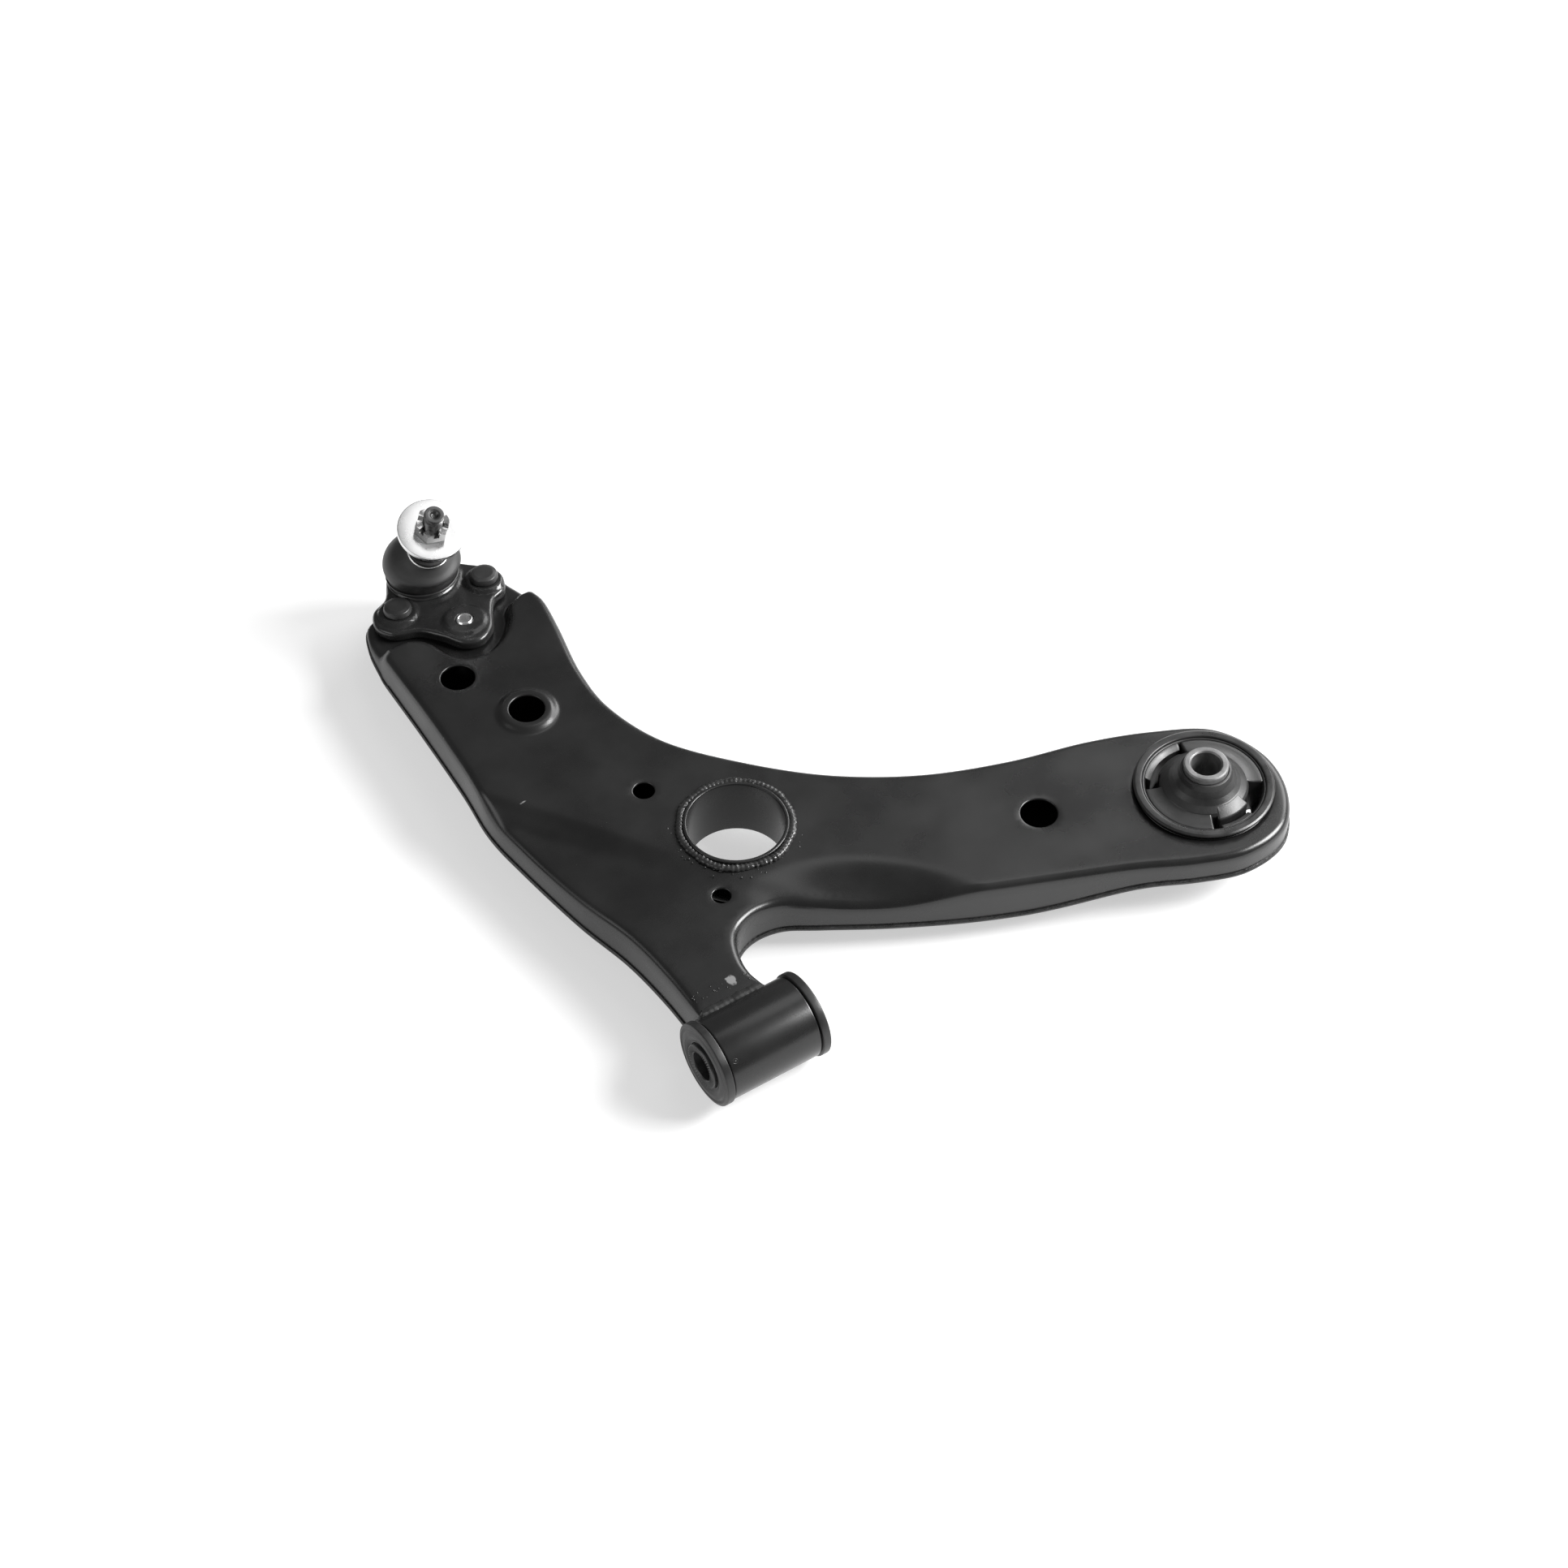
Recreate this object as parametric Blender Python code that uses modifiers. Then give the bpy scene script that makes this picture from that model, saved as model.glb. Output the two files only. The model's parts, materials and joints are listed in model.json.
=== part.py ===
"""Front lower control arm, right-hand pressing, built as separate pieces.

Frame: +X runs rearwards along the pivot line, from the front bush to the rear
bush. +Y runs outboard to the ball joint. +Z is up. Every length below is in
millimetres and becomes metres through MM. At the end the whole arm is moved so
that the middle of its footprint is the origin and its lowest points are at z = 0.
"""
import bpy
import bmesh
from math import asin, atan2, cos, degrees, hypot, pi, radians, sin, sqrt, tan
from mathutils import Matrix, Vector
from mathutils.geometry import delaunay_2d_cdt

MM = 0.001

# ---------------------------------------------------------------- driving sizes
GAP = 0.3                      # space kept between pieces that touch
WELD_GAP = 0.9                 # space round a tube where it passes a pressing
BOLT_CLEARANCE = 1.3           # radial room for the bolts in both pressings
SHEET_GAP = 0.7                # space between the two pressings under the ball joint
BUSH_SPACING = 296.0           # front bush centre to rear bush centre

SHEET = 2.8                    # thickness of both pressings
EDGE_RADIUS = 4.5              # rolled edge of the upper pressing
TOP_LEVEL = 42.0               # top face of the arm
RIM_LEVEL = 14.0               # bottom face of the lower pressing, mid arm
REAR_RIM_RISE = 10.0           # how much higher that face is at the rear end
NECK_DROP = 7.0                # step down beside the neck
CROTCH_DROP = 9.0              # slope down to the edge behind the neck
END_DROP = 2.0                 # fall of the top face towards the ball joint
BELLY = 5.0                    # how far the lower pressing bulges downwards

TUBE_CENTRE = (64.5, 119.0)    # through-tube in the middle of the arm
TUBE_RADIUS = 29.5
TUBE_WALL = 2.2
TUBE_PROUD = 2.5               # how far it stands out of both pressings

FRONT_AXIS_HEIGHT = 25.0       # bush axis above the bottom of the arm
FRONT_HOUSING_RADIUS = 23.2
FRONT_HOUSING_WALL = 2.8
FRONT_HOUSING_LENGTH = 54.4
FRONT_CAN_WALL = 1.4
FRONT_FLANGE_LIP = 1.0         # how far the rubber flange stands past the housing
FRONT_FLANGE_THICKNESS = 6.0
FRONT_SLEEVE_RADIUS = 13.0
FRONT_SLEEVE_BORE = 8.3
FRONT_SLEEVE_PROUD = 0.8

REAR_SLEEVE_RADIUS = 12.5
REAR_SLEEVE_BORE = 8.5
REAR_SLEEVE_LENGTH = 62.0
REAR_SLEEVE_PROUD = 3.5        # sleeve above the rubber
# Slope of the rubber round the sleeve: out from the sleeve, up from the can's lip.
REAR_CONE = [(3.5, 6.5), (5.5, 3.5), (8.0, 1.0), (11.0, -0.6), (15.0, -1.0)]
REAR_CAN_RADIUS = 36.0
REAR_CAN_WALL = 1.8
REAR_LIP = 3.3                 # how far the can's lip turns out
REAR_LIP_LIFT = 2.2            # gap between the lip and the top face of the arm
REAR_SEAT_WALL = 2.0
REAR_VOID_ANGLE = 106.0        # middle of the first kidney-shaped void, in plan
REAR_VOID_SPAN = 84.0          # angle that each void takes
REAR_VOID_DEPTH = 6.5          # radial size of each void
REAR_VOID_EDGE = 4.5           # can to void

BALL_CENTRE = (17.0, 382.0, 36.0)
HOUSING_LEAN = 4.0             # housing axis leans outboard by this angle
STUD_LEAN = 17.5               # stud leans inboard of vertical by this angle
BALL_RADIUS = 13.0
LINER_WALL = 2.2
CUP_WALL = 3.7                 # thinnest wall of the housing round the ball
CUP_FLOOR = 6.0                # ball to the bottom of the housing
COLLAR_STEP = 1.5              # collar to cup, in radius
COLLAR_TOP = 3.0               # above the ball centre
BOOT_NECK_STEP = 1.9           # cup to boot neck, in radius
BOOT_NECK_TOP = 7.5
FLANGE_TOP = 1.0               # above the ball centre
FLANGE_THICKNESS = 8.0
BOLT_OFFSETS = {"left": (-26.5, -17.5), "right": (28.5, -22.0), "inner": (2.0, -45.0)}
BOLT_RADIUS = 5.0
BOLT_HEAD_RADIUS = 8.3
BOLT_HEAD_HEIGHT = 4.2
NUT_ACROSS_FLATS = 16.0
NUT_HEIGHT = 9.0
BOLT_TAIL = 12.8               # how far the outer bolts reach below their nuts

STUD_NECK_RADIUS = 7.0
STUD_COLLAR_RADIUS = 8.8
STUD_SHOULDER = 55.0           # top of the stud's taper, from the ball centre
STUD_THREAD_RADIUS = 5.8
STUD_END = 75.0
DISC_RADIUS = 19.6
DISC_THICKNESS = 3.0
CASTLE_NUT_ACROSS_FLATS = 18.0
CASTLE_NUT_HEIGHT = 8.0
CASTLE_SLOT_WIDTH = 3.2
CASTLE_SLOT_DEPTH = 3.6
CASTLE_NUT_TURN = 45.0         # one corner of the nut, round the stud
BOOT_WALL = 1.8
BOOT_TOP = 35.5                # top of the boot along the stud
RING_WIRE = 0.8                # radius of the boot's spring rings

# Plan outline of the arm, anticlockwise from the neck, round stretches splined.
ARM_OUTLINE = [
    (17, 14), (17, 38), (24, 55), (38, 62.5), (56, 61), (75, 50), (108, 30),
    (148, 9), (190, -9), (230, -26), (262, -42), (290, -51), (318, -46),
    (336, -24), (340.5, 4), (328, 33), (298, 51), (262, 65), (217, 77),
    (172, 95), (130, 122), (95, 156), (66, 194), (53.5, 232), (54, 266),
    (62, 303), (66, 325), (65, 335), (63, 344), (57, 362), (47, 373),
]
ARM_OUTLINE_LEFT = [
    (-16, 376), (-27, 371), (-33, 357), (-34, 344), (-34.6, 336), (-36.5, 290), (-39.5, 240),
    (-43, 205), (-40.5, 172), (-34, 124), (-26, 86), (-23, 52), (-23, 14),
]
NOTCH_CLEARANCE = 2.0          # arm end to ball joint housing

# The drawn outline and holes suit these sizes. `fitted` moves them to suit others.
DRAWN_SPACING = 296.0
DRAWN_BALL = (17.0, 382.0)
DRAWN_REAR_CAN = 36.0
REAR_RUN = (110.0, 240.0)      # between these places the arm grows rearwards
OUTER_RUN = (130.0, 230.0)     # and between these it grows outboard

# Outline of the ball joint's three-lobed flange from the ball centre, clockwise.
FLANGE_OUTLINE = [
    (23, 2), (35, -11), (39, -24), (35, -34), (26, -38), (20, -46), (13, -58),
    (2, -64), (-8, -60), (-15, -48), (-24, -37), (-37, -31), (-42.5, -20),
    (-38, -8), (-27, -2), (-21, 7),
]
# Access holes in the upper pressing: x, y, radius.
DRAWN_HOLES = [
    (11.6, 254.2, 10.2), (-7.5, 299.0, 9.8), (35.4, 168.0, 6.0),
    (31.4, 82.0, 5.1), (208.8, 34.7, 10.3),
]
BOSS_HOLE = 0                  # this access hole sits on a raised boss
BOSS_HEIGHT = 2.6
BOSS_TOP_RADIUS = 13.0
BOSS_FOOT_RADIUS = 19.0
POCKET_CLEARANCE = 10.5        # top of the pocket's wall to the flange's inner lobe
POCKET_WALL_RUN = 5.5

# Bends of the pressings: where each one starts and how far it runs.
END_FALL = (270.0, 60.0)       # fall of the top face towards the ball joint
NECK_BEND = (-36.0, 214.0)     # a point on the bend beside the neck
NECK_ALONG = (0.576, -0.817)   # direction of that bend
NECK_RUN = 17.0                # width of the step
NECK_FADE = (40.0, 90.0)       # along the bend, the step fades out here
NECK_FADE_SHARE = 0.75
CROTCH = (97.0, 26.0)          # middle of the slope behind the neck
CROTCH_REACH = (62.0, 46.0)
CROTCH_SKEW = 0.55
CROTCH_FLAT = 0.22             # share of its reach where the slope is at its lowest
REAR_RISE = (170.0, 80.0)      # rise of the lower pressing towards the rear bush
END_RISE = (235.0, 85.0)       # and towards the ball joint
BELLY_INSET = 22.0             # the bulge starts at the seam and is full here
BELLY_REAR = (150.0, 80.0)
BELLY_END = (200.0, 60.0)

OUTLINE_STEP = 12.0            # spacing of points along the pressings' outline
SHEET_GRID = 18.0              # spacing of points inside the pressings

# ------------------------------------------------------------- worked-out sizes
FRONT_FLANGE_RADIUS = FRONT_HOUSING_RADIUS + FRONT_FLANGE_LIP
REAR_LIP_RADIUS = REAR_CAN_RADIUS + REAR_LIP
REAR_VOID_OUTER = REAR_CAN_RADIUS - REAR_VOID_EDGE
REAR_VOID_INNER = REAR_VOID_OUTER - REAR_VOID_DEPTH
CUP_RADIUS = BALL_RADIUS + GAP + LINER_WALL + GAP + CUP_WALL
CUP_DEPTH = BALL_RADIUS + CUP_FLOOR
COLLAR_RADIUS = CUP_RADIUS + COLLAR_STEP
BOOT_NECK_RADIUS = CUP_RADIUS - BOOT_NECK_STEP
SEAT_PLANE = FLANGE_TOP - FLANGE_THICKNESS - GAP
REAR_SEAT_RADIUS = REAR_CAN_RADIUS + GAP + REAR_SEAT_WALL
BOLT_PLACES = {name: (BALL_CENTRE[0] + x, BALL_CENTRE[1] + y)
               for name, (x, y) in BOLT_OFFSETS.items()}
FLANGE_NEAREST = BALL_CENTRE[1] + min(y for _, y in FLANGE_OUTLINE)
POCKET_CENTRE = (BOLT_PLACES["inner"][0] - 0.5, BOLT_PLACES["inner"][1] + 1.0)
POCKET_RADIUS = POCKET_CENTRE[1] - FLANGE_NEAREST + POCKET_CLEARANCE
POCKET_END = BOLT_PLACES["left"][1] - 27.0
NOTCH_RADIUS = CUP_RADIUS + NOTCH_CLEARANCE
STUD_BEND = HOUSING_LEAN + STUD_LEAN


def share(value, run):
    """How far a value is through a run, from 0 to 1."""
    return min(max((value - run[0]) / (run[1] - run[0]), 0.0), 1.0)


def fitted(point):
    """A drawn point, moved to suit the bush spacing, the rear bush and the ball joint."""
    x, y, *rest = point
    rear, outer = share(x, REAR_RUN), share(y, OUTER_RUN)
    grown = 1.0 + rear * (REAR_CAN_RADIUS / DRAWN_REAR_CAN - 1.0)
    x = BUSH_SPACING * rear + DRAWN_SPACING * (1.0 - rear) + (x - DRAWN_SPACING) * grown
    x += outer * (BALL_CENTRE[0] - DRAWN_BALL[0])
    return (x, y * grown + outer * (BALL_CENTRE[1] - DRAWN_BALL[1]), *rest)


def drawn(x, y):
    """The place on the drawing that a point of the arm comes from."""
    longer = BUSH_SPACING - DRAWN_SPACING
    further = BALL_CENTRE[1] - DRAWN_BALL[1]
    outer = share(y, (OUTER_RUN[0], OUTER_RUN[1] + further))
    x -= outer * (BALL_CENTRE[0] - DRAWN_BALL[0])
    rear = share(x, (REAR_RUN[0], REAR_RUN[1] + longer))
    return x - rear * longer, y - outer * further


ACCESS_HOLES = [fitted(hole) for hole in DRAWN_HOLES]

# ---------------------------------------------------------------------- set-up
for old in list(bpy.data.objects):
    bpy.data.objects.remove(old, do_unlink=True)

parts = bpy.data.collections.new("control_arm")
cutters = bpy.data.collections.new("control_arm_cutters")
bpy.context.scene.collection.children.link(parts)
bpy.context.scene.collection.children.link(cutters)


def material(name, colour, roughness, metallic):
    """A plain finish, shared by every piece made of the same stuff."""
    made = bpy.data.materials.get(name)
    if made is None:
        made = bpy.data.materials.new(name)
        made.use_nodes = True
        shader = made.node_tree.nodes["Principled BSDF"]
        shader.inputs["Base Color"].default_value = (*colour, 1.0)
        shader.inputs["Roughness"].default_value = roughness
        shader.inputs["Metallic"].default_value = metallic
    return made


FINISHES = {
    "black_paint": ((0.018, 0.018, 0.019), 0.38, 0.0),
    "rubber": ((0.014, 0.014, 0.014), 0.62, 0.0),
    "dark_steel": ((0.10, 0.10, 0.105), 0.42, 0.9),
    "bright_zinc": ((0.72, 0.73, 0.74), 0.24, 1.0),
    "satin_aluminium": ((0.80, 0.80, 0.81), 0.30, 1.0),
    "polymer": ((0.55, 0.53, 0.47), 0.45, 0.0),
}


def finish(obj, name, look):
    """Name an object, give it its finish and shade its round faces smooth."""
    obj.name = name
    obj.data.name = name
    obj.data.materials.clear()
    obj.data.materials.append(material(look, *FINISHES[look]))
    if obj.type == "MESH":
        obj.data.shade_smooth()
        obj.data.set_sharp_from_angle(angle=radians(35))
    return obj


def place(mesh, collection=parts):
    """Put a mesh in a collection as a new object."""
    obj = bpy.data.objects.new(mesh.name, mesh)
    collection.objects.link(obj)
    return obj


def as_cutter(obj):
    """Hide an object that only cuts or joins others."""
    for home in list(obj.users_collection):
        home.objects.unlink(obj)
    cutters.objects.link(obj)
    obj.hide_render = True
    obj.display_type = "WIRE"
    return obj


# ----------------------------------------------------------------- plain helpers
def splined(points, closed, step):
    """Points every `step` along a smooth curve through the given points."""
    count = len(points)
    last = count if closed else count - 1
    out = []
    for i in range(last):
        if closed:
            a, b, c, d = (points[(i + k) % count] for k in (-1, 0, 1, 2))
        else:
            a, b, c, d = (points[min(max(i + k, 0), count - 1)] for k in (-1, 0, 1, 2))
        length = hypot(c[0] - b[0], c[1] - b[1])
        cuts = max(1, round(length / step))
        for k in range(cuts):
            t = k / cuts
            weights = (-t + 2 * t * t - t ** 3, 2 - 5 * t * t + 3 * t ** 3,
                       t + 4 * t * t - 3 * t ** 3, -t * t + t ** 3)
            out.append(tuple(0.5 * sum(w * p[axis] for w, p in zip(weights, (a, b, c, d)))
                             for axis in (0, 1)))
    if not closed:
        out.append(tuple(points[-1]))
    return out


def arc(centre, radius, start, end, steps):
    """Points on an arc, angles in degrees."""
    angles = [radians(start + (end - start) * k / steps) for k in range(steps + 1)]
    return [(centre[0] + radius * cos(a), centre[1] + radius * sin(a)) for a in angles]


def smooth(value):
    """0 below 0, 1 above 1, and an even curve between."""
    t = min(max(value, 0.0), 1.0)
    return t * t * (3.0 - 2.0 * t)


def turned(name, profile, sides=32, matrix=Matrix(), collection=parts):
    """A turned piece: a closed (radius, height) profile, listed so that its outer
    side runs from top to bottom, swept round Z by a Screw modifier."""
    mesh = bpy.data.meshes.new(name)
    verts = [(r * MM, 0.0, z * MM) for r, z in profile]
    count = len(verts)
    closed = profile[0][0] > 1e-6
    edges = [(i, i + 1) for i in range(count - 1)]
    if closed:
        edges.append((count - 1, 0))
    mesh.from_pydata(verts, edges, [])
    obj = place(mesh, collection)
    screw = obj.modifiers.new("turn", "SCREW")
    screw.steps = sides
    screw.render_steps = sides
    screw.use_merge_vertices = True
    screw.merge_threshold = 0.00001
    obj.matrix_world = matrix
    return obj


def ring_profile(inner, outer, low, high, chamfer=0.0):
    """Section of a plain ring, its outer edges broken by a chamfer."""
    if chamfer <= 0.0:
        return [(inner, high), (outer, high), (outer, low), (inner, low)]
    return [(inner, high), (outer - chamfer, high), (outer, high - chamfer),
            (outer, low + chamfer), (outer - chamfer, low), (inner, low)]


def cut(obj, cutter, operation="DIFFERENCE"):
    """Boolean one object with another and keep the modifier."""
    modifier = obj.modifiers.new(operation.lower(), "BOOLEAN")
    modifier.operation = operation
    modifier.object = cutter
    return obj


def cylinder(name, radius, low, high, matrix=Matrix(), sides=48):
    """A hidden solid rod along Z, used as a cutter or to join."""
    mesh = bpy.data.meshes.new(name)
    bm = bmesh.new()
    bmesh.ops.create_cone(bm, cap_ends=True, segments=sides, radius1=radius * MM,
                          radius2=radius * MM, depth=(high - low) * MM)
    bmesh.ops.translate(bm, verts=bm.verts, vec=(0, 0, (high + low) / 2 * MM))
    bm.to_mesh(mesh)
    bm.free()
    obj = place(mesh)
    obj.matrix_world = matrix
    return as_cutter(obj)


def slab(name, outline, low, high, matrix=Matrix()):
    """A flat piece: a filled 2D curve extruded to its thickness, made a mesh."""
    curve = bpy.data.curves.new(name, "CURVE")
    curve.dimensions = "2D"
    curve.fill_mode = "BOTH"
    curve.extrude = (high - low) / 2 * MM
    spline = curve.splines.new("POLY")
    spline.points.add(len(outline) - 1)
    for point, (x, y) in zip(spline.points, outline):
        point.co = (x * MM, y * MM, 0.0, 1.0)
    spline.use_cyclic_u = True
    guide = bpy.data.objects.new(name, curve)
    parts.objects.link(guide)
    mesh = bpy.data.meshes.new_from_object(guide.evaluated_get(bpy.context.evaluated_depsgraph_get()))
    bpy.data.objects.remove(guide, do_unlink=True)
    bm = bmesh.new()
    bm.from_mesh(mesh)
    bmesh.ops.remove_doubles(bm, verts=bm.verts, dist=0.00001)
    bmesh.ops.dissolve_limit(bm, angle_limit=radians(1), verts=bm.verts, edges=bm.edges)
    bmesh.ops.recalc_face_normals(bm, faces=bm.faces)
    bmesh.ops.translate(bm, verts=bm.verts, vec=(0, 0, (high + low) / 2 * MM))
    bm.to_mesh(mesh)
    bm.free()
    mesh.name = name
    obj = place(mesh)
    obj.matrix_world = matrix
    return obj


def bevelled(obj, width, segments=1, angle=40.0):
    """Round the sharp edges of an object."""
    modifier = obj.modifiers.new("bevel", "BEVEL")
    modifier.width = width * MM
    modifier.segments = segments
    modifier.limit_method = "ANGLE"
    modifier.angle_limit = radians(angle)
    modifier.use_clamp_overlap = True
    return obj


# ---------------------------------------------------------------- frames of axes
ball_place = Vector(BALL_CENTRE) * MM
housing_frame = Matrix.Translation(ball_place) @ Matrix.Rotation(radians(-HOUSING_LEAN), 4, "X")
stud_frame = Matrix.Translation(ball_place) @ Matrix.Rotation(radians(STUD_LEAN), 4, "X")
front_frame = (Matrix.Translation(Vector((0.0, 0.0, FRONT_AXIS_HEIGHT)) * MM)
               @ Matrix.Rotation(radians(90), 4, "Y"))
rear_frame = Matrix.Translation(Vector((BUSH_SPACING, 0.0, 0.0)) * MM)


def joint_empty(name, matrix):
    """An empty on a joint's axis, which its moving pieces hang from."""
    empty = bpy.data.objects.new(name, None)
    empty.empty_display_size = 0.02
    parts.objects.link(empty)
    empty.matrix_world = matrix
    return empty


def hang(obj, empty):
    """Parent a piece to an empty without moving it."""
    bpy.context.view_layer.update()
    obj.parent = empty
    obj.matrix_parent_inverse = empty.matrix_world.inverted()
    return obj


# -------------------------------------------------------------- pressed sheets
def seat_level(x, y):
    """Height of the flat seat that the ball joint's flange bolts to."""
    slope = tan(radians(HOUSING_LEAN))
    return BALL_CENTRE[2] + SEAT_PLANE / cos(radians(HOUSING_LEAN)) - (y - BALL_CENTRE[1]) * slope


def run_share(value, run):
    """An even curve from 0 where a run starts to 1 where it ends."""
    return smooth((value - run[0]) / run[1])


def plateau_level(x, y):
    """Height of the arm's top face, before the pocket is sunk into it."""
    hole_x, hole_y, _ = ACCESS_HOLES[BOSS_HOLE]
    from_hole = hypot(x - hole_x, y - hole_y)
    x, y = drawn(x, y)
    level = TOP_LEVEL - END_DROP * run_share(y, END_FALL)
    off_x, off_y = x - NECK_BEND[0], y - NECK_BEND[1]
    across = NECK_ALONG[1] * off_x - NECK_ALONG[0] * off_y
    along = NECK_ALONG[0] * off_x + NECK_ALONG[1] * off_y
    fade = 1.0 - NECK_FADE_SHARE * run_share(along, NECK_FADE)
    level -= NECK_DROP * smooth(across / NECK_RUN) * fade
    off_x = x - CROTCH[0]
    reach = hypot(off_x / CROTCH_REACH[0], (y - CROTCH[1] + CROTCH_SKEW * off_x) / CROTCH_REACH[1])
    level -= CROTCH_DROP * (1.0 - smooth((reach - CROTCH_FLAT) / (1.0 - CROTCH_FLAT)))
    run = BOSS_FOOT_RADIUS - BOSS_TOP_RADIUS
    return level + BOSS_HEIGHT * (1.0 - smooth((from_hole - BOSS_TOP_RADIUS) / run))


def top_level(x, y):
    """Height of the upper pressing's outer face."""
    round_lobe = hypot(x - POCKET_CENTRE[0], y - POCKET_CENTRE[1]) - POCKET_RADIUS
    across_end = POCKET_END - y
    inside = -min(round_lobe, across_end)
    sunk = smooth(inside / POCKET_WALL_RUN)
    high = plateau_level(x, y)
    return high + (min(seat_level(x, y), high) - high) * sunk


def rim_level(x, y):
    """Height of the lower pressing's bottom face along the seam."""
    end = seat_level(x, y) - 2.0 * SHEET - SHEET_GAP
    x, y = drawn(x, y)
    level = RIM_LEVEL + REAR_RIM_RISE * run_share(x, REAR_RISE)
    return level + (end - level) * run_share(y, END_RISE)


def belly_level(x, y, inset):
    """Height of the lower pressing's bottom face away from the seam."""
    rim = rim_level(x, y)
    x, y = drawn(x, y)
    bulge = BELLY * smooth(inset / BELLY_INSET) * (1.0 - run_share(x, BELLY_REAR))
    return rim - bulge * (1.0 - run_share(y, BELLY_END))


def arm_outline(step):
    """Closed outline of the arm, with the notch round the ball joint housing."""
    centre = BALL_CENTRE[:2]
    notch = arc(centre, NOTCH_RADIUS, -32.0, -148.0, max(6, round(44.0 / step)))
    right = splined([fitted(point) for point in ARM_OUTLINE], False, step)
    left = splined([fitted(point) for point in ARM_OUTLINE_LEFT], False, step)
    return right + notch + left


def inward(points, distances):
    """Offset a closed anticlockwise outline inwards, each point by its own distance."""
    count = len(points)
    out = []
    for i in range(count):
        before, here, after = points[i - 1], points[i], points[(i + 1) % count]
        first = Vector((here[0] - before[0], here[1] - before[1])).normalized()
        second = Vector((after[0] - here[0], after[1] - here[1])).normalized()
        tangent = (first + second).normalized()
        widen = 1.0 / max(0.6, sqrt(max(0.0, (1.0 + first.dot(second)) / 2.0)))
        step = distances[i] * widen
        out.append((here[0] - tangent.y * step, here[1] + tangent.x * step))
    return out


def distance_to(points, x, y):
    """Shortest distance from a point to a closed outline's points."""
    return min(hypot(x - px, y - py) for px, py in points)


def contains(points, x, y):
    """True where a point lies inside a closed outline."""
    inside = False
    for (ax, ay), (bx, by) in zip(points, points[1:] + points[:1]):
        if (ay > y) != (by > y) and x < ax + (y - ay) * (bx - ax) / (by - ay):
            inside = not inside
    return inside


def pressed_sheet(name, rings, skirt, holes, level, grid, creases=()):
    """An open sheet: outline rings and hole rings joined by a Delaunay net whose
    points take their height from `level`, with a skirt below the outer ring.
    `creases` are points on the bends of the pressing, which the net must follow."""
    coords = []
    edges = []
    for ring in rings + holes:
        first = len(coords)
        coords.extend((x, y) for x, y, _ in ring)
        edges.extend((first + i, first + (i + 1) % len(ring)) for i in range(len(ring)))
    heights = [z for ring in rings + holes for _, _, z in ring]
    inner = [(x, y) for x, y, _ in rings[-1]]
    others = [(x, y) for ring in holes for x, y, _ in ring]
    for x, y in creases:
        clear = distance_to(inner, x, y) > 0.35 * grid and contains(inner, x, y)
        if clear and distance_to(others, x, y) > 0.3 * grid:
            coords.append((x, y))
            heights.append(level(x, y))
            others.append((x, y))
    low_x, high_x = min(p[0] for p in inner), max(p[0] for p in inner)
    low_y, high_y = min(p[1] for p in inner), max(p[1] for p in inner)
    row = 0
    y = low_y + grid / 2
    while y < high_y:
        x = low_x + grid * (0.5 if row % 2 else 1.0)
        while x < high_x:
            clear = distance_to(inner, x, y) > 0.62 * grid
            clear = clear and contains(inner, x, y)
            clear = clear and (not others or distance_to(others, x, y) > 0.5 * grid)
            if clear and not any(contains([(a, b) for a, b, _ in hole], x, y) for hole in holes):
                coords.append((x, y))
                heights.append(level(x, y))
            x += grid
        y += grid * sqrt(3) / 2
        row += 1
    found, _, faces, sources, _, _ = delaunay_2d_cdt([Vector(c) for c in coords], edges, [], 1, 1e-4)
    openings = [[(a, b) for a, b, _ in hole] for hole in holes]
    bm = bmesh.new()
    verts = [bm.verts.new((p.x * MM, p.y * MM, heights[source[0]] * MM))
             for p, source in zip(found, sources)]
    for face in faces:
        middle = sum((found[i] for i in face), Vector((0.0, 0.0))) / len(face)
        if not any(contains(opening, middle.x, middle.y) for opening in openings):
            bm.faces.new([verts[i] for i in face])
    bmesh.ops.delete(bm, geom=[v for v in bm.verts if not v.link_faces], context="VERTS")
    if skirt:
        where = {source[0]: verts[i] for i, source in enumerate(sources)}
        upper = [where[i] for i in range(len(rings[0]))]
        lower = [bm.verts.new((v.co.x, v.co.y, z * MM)) for v, z in zip(upper, skirt)]
        for i in range(len(upper)):
            j = (i + 1) % len(upper)
            bm.faces.new((upper[j], upper[i], lower[i], lower[j]))
    bmesh.ops.recalc_face_normals(bm, faces=bm.faces)
    highest = max(bm.faces, key=lambda f: abs(f.normal.z))
    if highest.normal.z < 0:
        bmesh.ops.reverse_faces(bm, faces=bm.faces)
    mesh = bpy.data.meshes.new(name)
    bm.to_mesh(mesh)
    bm.free()
    return place(mesh)


def hole_ring(x, y, radius, level, sides):
    """A hole's edge lying in the sheet."""
    return [(px, py, level(px, py)) for px, py in arc((x, y), radius, 0.0, 360.0, sides)[:-1]]


def bolt_place(name, height=0.0):
    """Place of a bolt on the flange, in the housing's frame."""
    x, y = BOLT_PLACES[name]
    flat = (y - BALL_CENTRE[1]) / cos(radians(HOUSING_LEAN))
    return Vector((x - BALL_CENTRE[0], flat, height)) * MM


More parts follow.
